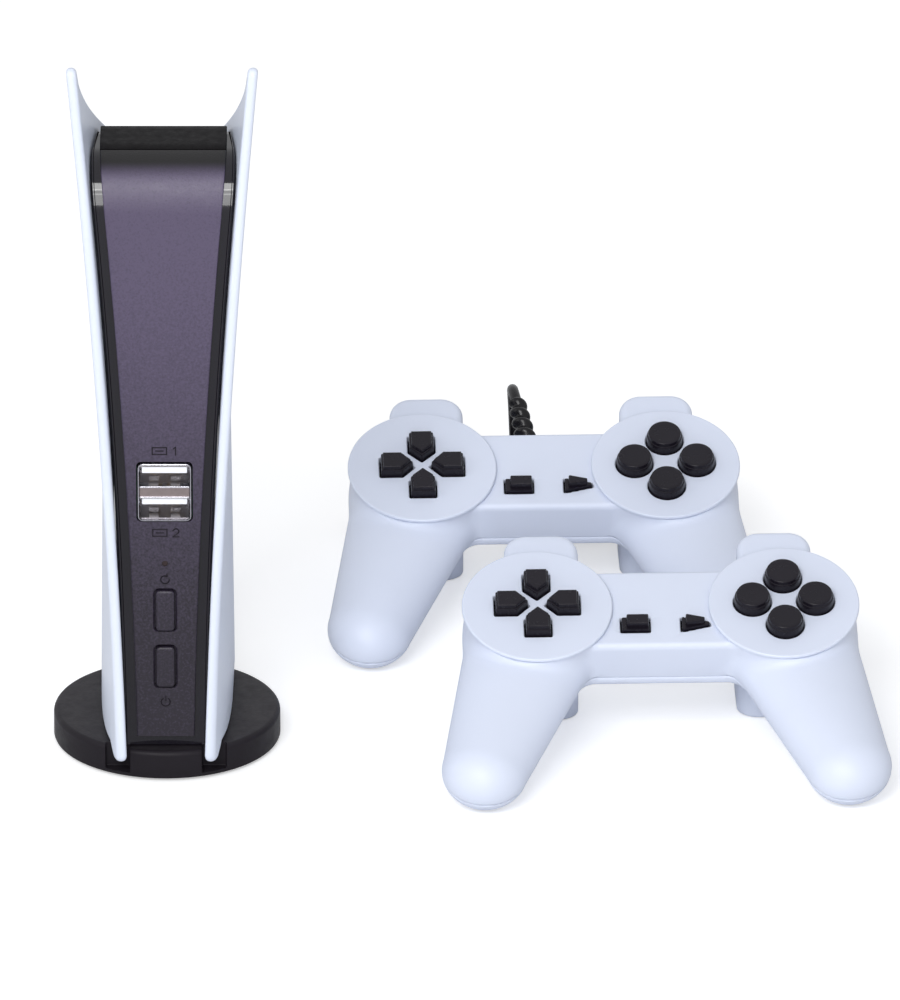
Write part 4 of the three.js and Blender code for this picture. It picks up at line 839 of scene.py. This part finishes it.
def shell_field(part, inlet):
    """A function for the distance to a case's top or bottom shell, with a round inlet for its cord."""
    cuts = [lambda x, y, z: np.maximum(np.hypot(x - RELIEF_AT[0], z - RELIEF_AT[2]) - inlet, 9 - y)]
    if part == "top":
        adds = [pillar(0, SCREW_Y, 3.2, -12.7, -2)]
        cuts += [disc_seat, option_tool, pillar(0, SCREW_Y, 1.5, -30, -3.7)]
    else:
        adds = [pillar(0, SCREW_Y, 4, -16.5, -13)]
        adds += [pillar(side * x, y, 2, floor, -12.7) for side in (1, -1)
                 for x, y, floor in ((SPACING / 2, -9, -20), (11, 6, -16))]
        cuts += [pillar(0, SCREW_Y, 2.8, -30, -14.7), pillar(0, SCREW_Y, 1.5, -30, 5), shoulder_tool]

    def field(x, y, z):
        case = case_field(x, y, z)
        parted = PARTING - z if part == "top" else z - PARTING + 0.05
        shell = np.maximum(np.maximum(case, -(case + CASE_WALL)), parted)
        for add in adds:
            shell = np.minimum(shell, add(x, y, z))
        for cut in cuts:
            shell = np.maximum(shell, -cut(x, y, z))
        return shell
    return field


def surface_of(field, low, high, cell):
    """The surface where a field is zero, as points and quads, one point to each grid cell it crosses."""
    axes = [np.arange(a, b + cell, cell) for a, b in zip(low, high)]
    grid = field(*np.meshgrid(*axes, indexing="ij", sparse=True)).astype(np.float32)
    cells = tuple(n - 1 for n in grid.shape)
    size = cells[0] * cells[1] * cells[2]
    total, hits, quads = np.zeros((3, size)), np.zeros(size), []
    for axis, count in enumerate(cells):
        one, two = grid.take(range(count), axis), grid.take(range(1, count + 1), axis)
        found = np.nonzero((one < 0) != (two < 0))
        start, end = one[found], two[found]
        place = [f.astype(float) for f in found]
        place[axis] += start / (start - end)
        corners = []
        for db, dc in ((0, 0), (-1, 0), (-1, -1), (0, -1)):
            shift = {(axis + 1) % 3: db, (axis + 2) % 3: dc, axis: 0}
            cell_at = [f + shift[k] for k, f in enumerate(found)]
            flat = np.ravel_multi_index(cell_at, cells)
            for k in range(3):
                total[k] += np.bincount(flat, place[k], size)
            hits += np.bincount(flat, minlength=size)
            corners.append(flat)
        quad = np.stack(corners, 1)
        quad[start >= 0] = quad[start >= 0][:, ::-1]
        quads.append(quad)
    used = np.nonzero(hits)[0]
    number = np.full(size, -1)
    number[used] = np.arange(len(used))
    points = (total[:, used] / hits[used]).T * cell + np.array(low)
    return settle(field, points, cell), number[np.concatenate(quads)]


def settle(field, points, cell):
    """Moves points onto the surface, a short way at most."""
    step = 0.02
    for _ in range(2):
        rises = [field(*(points + way).T) - field(*(points - way).T) for way in step * np.eye(3)]
        slope = np.stack(rises, 1) / (2 * step)
        move = field(*points.T) / np.maximum((slope ** 2).sum(1), 0.25)
        points = points - np.clip(move[:, None] * slope, -0.3 * cell, 0.3 * cell)
    return points


def pad_shells(prefix):
    for part, (low, high, cell) in SHELLS.items():
        points, quads = surface_of(shell_field(part, INLET[prefix]), low, high, cell * FINE)
        name = f"{prefix}_{part}_case"
        data = bpy.data.meshes.new(name)
        data.from_pydata((placed(points, PLACE[prefix]) * MM).tolist(), [], quads.tolist())
        data.shade_smooth()
        piece = link_piece(name, data, "pad_white", f"{prefix}_controller",
                           replaces=[f"{prefix}_{part}_shell"])
        piece.modifiers.new("thin", "DECIMATE").ratio = 0.5
        even_normals(piece)


def disc_plates():
    """Round faces with openings for their keys."""
    levels = [(2.25, -2.0), (2.25, -RAISE), (0.7, -RAISE), (0.7, -RAISE + 0.36), (0.1, -RAISE + 0.4),
              (0, -RAISE + 0.5)] + rim(0, DISC_EDGE)
    flare = [(0, -6), (0, -0.22), (-0.22, 0), (-0.5, 1.5)]
    openings = {"left": [polygon(direction_points(turn, -0.42), 0.5, 4) for turn in range(4)],
                "right": [circle(*contact(turn, 1), ROUND_RADIUS + 0.3) for turn in range(4)]}
    for side, side_name in ((-1, "left"), (1, "right")):
        disc = tiers(circle(side * SPACING / 2, 0, DISC, 128), levels)
        plain = link_piece("disc", mesh_of("disc", *disc), None, None)
        cut_away(plain, [tiers(opening, flare) for opening in openings[side_name]])
        for prefix in PLACE:
            data = plain.data.copy()
            data.transform(Matrix.Scale(MM, 4) @ PLACE[prefix] @ Matrix.Scale(1 / MM, 4))
            even_normals(link_piece(f"{prefix}_{side_name}_face", data, "pad_white", f"{prefix}_controller"))
        bpy.data.objects.remove(plain)


def contact(turn, side):
    angle = turn * pi / 2
    return side * SPACING / 2 + CONTACT * cos(angle), CONTACT * sin(angle)


def direction_points(turn, inset=0.0):
    """A direction key's outline with a point towards the middle, counterclockwise."""
    wide = CROSS_TIP + CROSS_SHOULDER
    points = [(CROSS_TIP, 0), (wide, -CROSS_HALF), (CROSS_OUTER, -CROSS_HALF), (CROSS_OUTER, CROSS_HALF),
              (wide, CROSS_HALF)]
    c, s = cos(turn * pi / 2), sin(turn * pi / 2)
    return inset_points([(-SPACING / 2 + a * c - b * s, a * s + b * c) for a, b in points], inset)


def key_levels(bottom, top, ledge=0.42):
    """A key's wall with a little draft, a ledge near its top and a rounded rim inside it."""
    shelf = top - 1.15
    return [(0, bottom), (0, 0.2), (0.12, shelf - 0.25), (0.2, shelf - 0.06), (0.34, shelf),
            (ledge + 0.1, shelf + 0.03), (ledge + 0.14, shelf + 0.12)] + rim(top, 0.4, ledge + 0.2, 4, 0.36)


def add_key(prefix, name, body, shapes, material="black_key", lean=Matrix()):
    add_piece(f"{prefix}_{name}", shapes, material, f"{prefix}_{body}", place=PLACE[prefix] @ lean,
              replaces=[f"{prefix}_{body}"])


def direction_keys(prefix):
    shapes = []
    for turn in range(4):
        shapes.append(tiers(polygon(direction_points(turn), 0.45, 4), key_levels(-3.1, CROSS_TOP)))
        shapes.append(rod(contact(turn, -1), 1.5, -6.8, -4.3, "z", 20))
    middle = -SPACING / 2
    for across, up in ((12.6, 3.4), (3.4, 12.6)):
        shapes.append(block((middle - across, middle + across), (-up, up), (-4.4, -3), 0.2, 0.6))
    add_key(prefix, "cross_keys", "direction_keys", shapes)


def round_keys(prefix):
    levels = [(1.95, -6), (1.95, -3.3), (-0.75, -3.3), (-0.75, -2.1), (0, -2.1)]
    levels += key_levels(-2.05, ROUND_TOP, 0.3)[1:] + [(1.7, ROUND_TOP - 0.02), (2.6, ROUND_TOP - 0.05)]
    for turn, name in enumerate(("right", "up", "left", "down")):
        shape = tiers(circle(*contact(turn, 1), ROUND_RADIUS, 72), levels)
        add_key(prefix, f"{name}_key", f"button_{name}", shape)


def option_keys(prefix):
    """Keys with a low base and a raised part that is set back.

    Both outlines are (left, right, and the corners' heights counterclockwise) from the middle of a key."""
    right, back = OPTION_WIDTH / 2, OPTION_DEPTH / 2
    outlines = {
        "select": [(-right, right, -back, -back, back, back),
                   (1.25 - right, right - 0.1, 1 - back, 1 - back, back - 0.1, back - 0.1)],
        "start": [(-right, right, -back, -0.5, 0.5, back),
                  (0.95 - right, right - 1.2, 1.15 - back, -0.45, 0.85, back - 0.12)],
    }
    low_levels = [(0, -3.5), (0, -RAISE + 0.35), (0.12, -RAISE + 0.6), (0.5, -RAISE + 0.62)]
    high_levels = [(0, -RAISE), (0.1, -RAISE + 1.6)] + rim(-RAISE + 2.2, 0.4, 0.1)
    for name, pair in outlines.items():
        x, y = OPTION_X[name], OPTION_Y
        low, high = ([(x + x0, y + a), (x + x1, y + b), (x + x1, y + c), (x + x0, y + d)]
                     for x0, x1, a, b, c, d in pair)
        flange = block((x - right - 1, x + right + 1), (y - back - 1, y + back + 1), (-4.4, -3.4), 0.15, 0.3)
        shapes = [tiers(polygon(low, 0.4), low_levels), tiers(polygon(high, 0.45), high_levels), flange,
                  rod((x, y), 1.5, -8.4, -4.3, "z", 20)]
        add_key(prefix, f"{name}_cap", f"{name}_key", shapes)


def shoulder_keys(prefix):
    lean = Matrix(((1, 0, 0, 0), (0, 1, SHEAR, 0), (0, 0, 1, 0), (0, 0, 0, 1)))
    top = COLUMN_BACK + 2.2
    levels = [(0, COLUMN_BACK - 4), (0, top - 1.3)] + rim(top, 1.2, 0, 5) + [(2.4, top + 0.02)]
    for x, side_name in ((-COLUMN_X, "left"), (COLUMN_X, "right")):
        for row, (low, high) in SHOULDER.items():
            cap = tiers(rectangle(x - 6.5, x + 6.5, low, high, 2.5, 6), levels, "y")
            flange = block((x - 7.3, x + 7.3), (COLUMN_BACK - 5.2, COLUMN_BACK - 4.1),
                           (low - 0.8, high + 0.8), 0.1, 0.3, "y")
            name = f"{side_name}_{row}_shoulder"
            add_key(prefix, f"{name}_cap", f"{name}_key", [cap, flange], "pad_white", lean)


def controllers():
    disc_plates()
    for prefix in PLACE:
        for build in (pad_shells, direction_keys, round_keys, option_keys, shoulder_keys):
            build(prefix)
        assign(*(f"{prefix}_{node}" for node in
                 ("circuit_board", "key_membrane", "case_screw", "direction_pivot")))


# ---- cord
CORD_RADIUS = 1.5
CORD_ROUTE = [
    (94.8, 119.6, 43.4), (94.1, 123.4, 44.8), (93.5, 127.1, 45.3), (93.3, 130.7, 44), (93.4, 133.8, 41.2),
    (93.6, 136.1, 36.8), (93.8, 137.7, 31.3), (94, 139.5, 25.3), (94.1, 142.3, 20.2), (94.25, 146, 17),
    (94.6, 149.8, 15.2), (95.15, 153.4, 14.2),
]
LEAD_ROUTE = [(100.8, 131.6, 1.5), (95.15, 133.6, 1.6), (91.95, 134.7, 1.9), (88.75, 135.7, 2.7),
              (85.95, 136.2, 3.7), (83.95, 136.3, 4)]
COIL, COIL_RADII = (112.8, 147.2), (18.75, 15.75, 12.75)
COIL_HEIGHTS = (10.5, 7.5, 4.5, 1.5)
GRIP_LONG, MOUTH_LONG = 21, 12


def smooth_path(points, spacing):
    """Points on a smooth curve through the given ones, about spacing apart."""
    points = [np.array(p, float) for p in points]
    points = [2 * points[0] - points[1], *points, 2 * points[-1] - points[-2]]
    result = []
    for p0, p1, p2, p3 in zip(points, points[1:], points[2:], points[3:]):
        count = max(1, ceil(np.linalg.norm(p2 - p1) / spacing))
        for k in range(count):
            t = k / count
            result.append(0.5 * (2 * p1 + (p2 - p0) * t + (2 * p0 - 5 * p1 + 4 * p2 - p3) * t ** 2
                                 + (3 * p1 - 3 * p2 + p3 - p0) * t ** 3))
    return result + [points[-2]]


def coil_path():
    """Four layers of three turns, wound inwards and outwards by turns from the top down."""
    steps = []
    for layer, level in enumerate(COIL_HEIGHTS):
        for radius in COIL_RADII if layer % 2 == 0 else COIL_RADII[::-1]:
            steps += [(60, radius, level), (300 if radius == COIL_RADII[1] else 240, radius, level)]
    steps[-1] = (270, COIL_RADII[0], COIL_HEIGHTS[-1])
    path, turned, radius, z = [], 0, COIL_RADII[0], COIL_HEIGHTS[0]
    for sweep, next_radius, level in steps:
        count = sweep // 12
        for k in range(1, count + 1):
            share = (1 - cos(pi * k / count)) / 2
            now = turned + sweep * k / count
            r = radius + (next_radius - radius) * share
            height = z + (level - z) * share
            if now < 60:
                height += 3.7 * (1 + cos(pi * now / 60)) / 2
            angle = radians(160 - now)
            path.append(np.array([COIL[0] + r * cos(angle), COIL[1] + r * sin(angle), height]))
        turned, radius, z = turned + sweep, next_radius, level
    return path


def cord():
    points = smooth_path(CORD_ROUTE, 1.6) + coil_path()
    points += smooth_path([points[-1], *LEAD_ROUTE], 1.8)[1:]
    data = bpy.data.curves.new("controller_cord", "CURVE")
    data.dimensions = "3D"
    data.bevel_depth = CORD_RADIUS * MM
    data.bevel_resolution = 4
    data.use_fill_caps = True
    spline = data.splines.new("POLY")
    spline.points.add(len(points) - 1)
    for point, place in zip(spline.points, points):
        point.co = (*(place * MM), 1)
    spline.use_smooth = True
    piece = link_piece("controller_cord", data, "rubber", "rear_controller",
                       replaces=["rear_cord", "rear_cord_coil", "rear_plug_lead"])
    length = sum(np.linalg.norm(b - a) for a, b in zip(points, points[1:])) * MM
    carried = [coil_tie(), *plug()]


def coil_tie():
    """A flat strap round the coil's turns, on the side away from the plug."""
    low, high = COIL_RADII[1] - 5, COIL_RADII[1] + 5
    points = []
    for inset, along in [(0, -2.5), (0, 2.5), (0.5, 2.5), (0.5, -2.5)]:
        outline = rectangle(low + inset, high - inset, 0.05 + inset, 12.5 - inset, 1.6, 6)
        points += [(r, along, z) for r, z in outline(0)]
    place = Matrix.Translation((*COIL, 0)) @ Matrix.Rotation(radians(20), 4, "Z")
    shape = (points, stack(4, len(points) // 4, closed=True))
    return add_piece("coil_tie", shape, "rubber", "rear_controller", place=place)


def plug():
    """The plug: a moulded grip with ribs and a bend relief, and a metal mouth."""
    x, y, z = LEAD_ROUTE[-1]
    nose_end = x - 0.3
    back = nose_end - GRIP_LONG
    levels = [(0.9, back), (0.25, back + 0.25), (0, back + 0.9), (0, back + 4)]
    for k in range(4):
        rib = back + 4.4 + 1.9 * k
        levels += [(0, rib), (0.45, rib + 0.25), (0.45, rib + 0.85), (0, rib + 1.1)]
    levels += [(0, back + 13.2), (0.5, back + 14.6), (1.4, back + 15.4), (2.2, back + 15.7)]
    grip = tiers(rectangle(y - 7.8, y + 7.8, z - 4, z + 4, 2.2, 6), levels, "x")
    nose = tiers(circle(y, z, 2.4, 32), [(0, nose_end - 5.6), (0, nose_end - 1.2), (0.2, nose_end - 0.4),
                                         (0.6, nose_end)], "x")
    body = add_piece("plug_grip", [grip, nose], "rubber", "rear_controller", replaces=["rear_plug_body"])
    end = back - 0.3
    front = end - MOUTH_LONG
    tube = tiers(rectangle(y - 6, y + 6, z - 2.25, z + 2.25, 0.6),
                 [(0.12, front), (0, front + 0.3), (0, end)], "x")
    mouth = add_piece("plug_mouth", tube, "steel", "rear_controller", replaces=["rear_plug_shell"])
    hollow = tiers(rectangle(y - 5.65, y + 5.65, z - 1.9, z + 1.9, 0.3), [(0, front - 2), (0, end - 2)], "x")
    windows = [block((front + 4.6, front + 7.2), (middle - 1.25, middle + 1.25), (z + 1, z + 3), 0.05, 0.2)
               for middle in (y - 2.6, y + 2.6)]
    cut_away(mouth, [hollow, *windows])
    tongue = block((front + 0.4, end - 2.05), (y - 5.5, y + 5.5), (z - 1.75, z - 0.1), 0.15, 0.2, "x")
    return body, mouth, add_piece("plug_tongue", tongue, "white_insulator", "rear_controller")


def strain_relief():
    """A tapered sleeve with a winding rib."""
    rows, count, turns = 120, 28, 4.6
    points = []
    for r in range(rows + 1):
        t = r / rows
        fade = min(1, t / 0.04, (1 - t) / 0.06)
        for angle in (2 * pi * k / count for k in range(count)):
            wave = (0.5 + 0.5 * cos(2 * pi * turns * t - angle)) ** 0.7
            radius = 1.65 - 0.05 * t + 1.45 * wave * fade * (1 - 0.35 * t)
            points.append((radius * cos(angle), -0.4 + (RELIEF_LONG + 0.4) * t, radius * sin(angle)))
    collar, neck = rod((0, 0), 3.4, -4, -2.5, "y"), rod((0, 0), 2.3, -2.6, 0, "y")
    place = PLACE["rear"] @ (Matrix.Translation(RELIEF_AT) @ Matrix.Rotation(RELIEF_LEAN, 4, "Z"))
    add_piece("cord_relief", [(points, stack(rows + 1, count)), collar, neck], "rubber", "rear_controller",
              place=place, replaces=["rear_strain_relief"])


# ---- studio
FLOOR_COLOR, FLOOR_GLOW, FLOOR_Z = (0.86, 0.865, 0.875, 1), 0.42, -0.0002
WORLD_COLOR, WORLD_LEVEL = (0.97, 0.98, 1.0, 1), 0.51
# name: place, aim, size, watts
LAMPS = {
    "key": ((-0.5, -2.3, 2.0), (0.05, 0, 0.06), (1.25, 0.9), 41),
    "fill": ((-2.2, -0.9, 1.6), (0.05, 0.02, 0.05), (1.3, 1.3), 6),
    "edge": ((0.05, -1.6, 0.74), (0.05, 0, 0.08), (1.8, 0.08), 2.6),
    "strip": ((-0.014, -1.15, 0.42), (-0.014, 0.0, 0.17), (0.12, 0.8), 2.2),
}


def glowing_floor(tree):
    glow = math_node(tree, "MULTIPLY", add_node(tree, "LightPath", "Is Camera Ray"), FLOOR_GLOW)
    return {"Base Color": FLOOR_COLOR, "Roughness": 0.9, "Specular IOR Level": 0.1,
            "Emission Color": (1, 1, 1, 1), "Emission Strength": glow}


def add_floor():
    bpy.ops.mesh.primitive_plane_add(size=40, location=(0, 8, FLOOR_Z))
    floor = bpy.context.object
    floor.name = "floor"
    floor.data.materials.append(make_material("floor", glowing_floor))


def add_world():
    """Bright where it is seen or mirrored, dimmer as a light."""
    world = bpy.data.worlds.new("world")
    world.use_nodes = True
    tree = world.node_tree
    ray = tree.nodes.new("ShaderNodeLightPath").outputs
    seen = math_node(tree, "MAXIMUM", ray["Is Camera Ray"], ray["Is Transmission Ray"])
    seen = math_node(tree, "MAXIMUM", seen, ray["Is Glossy Ray"])
    background = tree.nodes["Background"].inputs
    background["Color"].default_value = WORLD_COLOR
    fill(tree, background["Strength"], spread(tree, seen, WORLD_LEVEL, 1.0, 0, 1))
    scene.world = world


def add_lamp(name, place, aim, size, watts):
    data = bpy.data.lights.new(name, "AREA")
    data.shape = "RECTANGLE"
    data.size, data.size_y = size
    data.energy = watts
    lamp = bpy.data.objects.new(name, data)
    lamp.location = place
    lamp.rotation_euler = (Vector(aim) - Vector(place)).to_track_quat("-Z", "Y").to_euler()
    scene.collection.objects.link(lamp)


# ---- the whole
cord()
strain_relief()
side_panels()
housing()
front_cover()
top_cap()
stand()
usb_ports()
console_buttons()
marks()
assign("foot_pad", "stand_screw", "main_board", "main_chip", "reset_switch", "power_switch", "power_lamp",
       "av_jack", "power_jack")
controllers()
add_floor()
add_world()
for name, values in LAMPS.items():
    add_lamp(name, *values)
scene.view_settings.view_transform = "Standard"
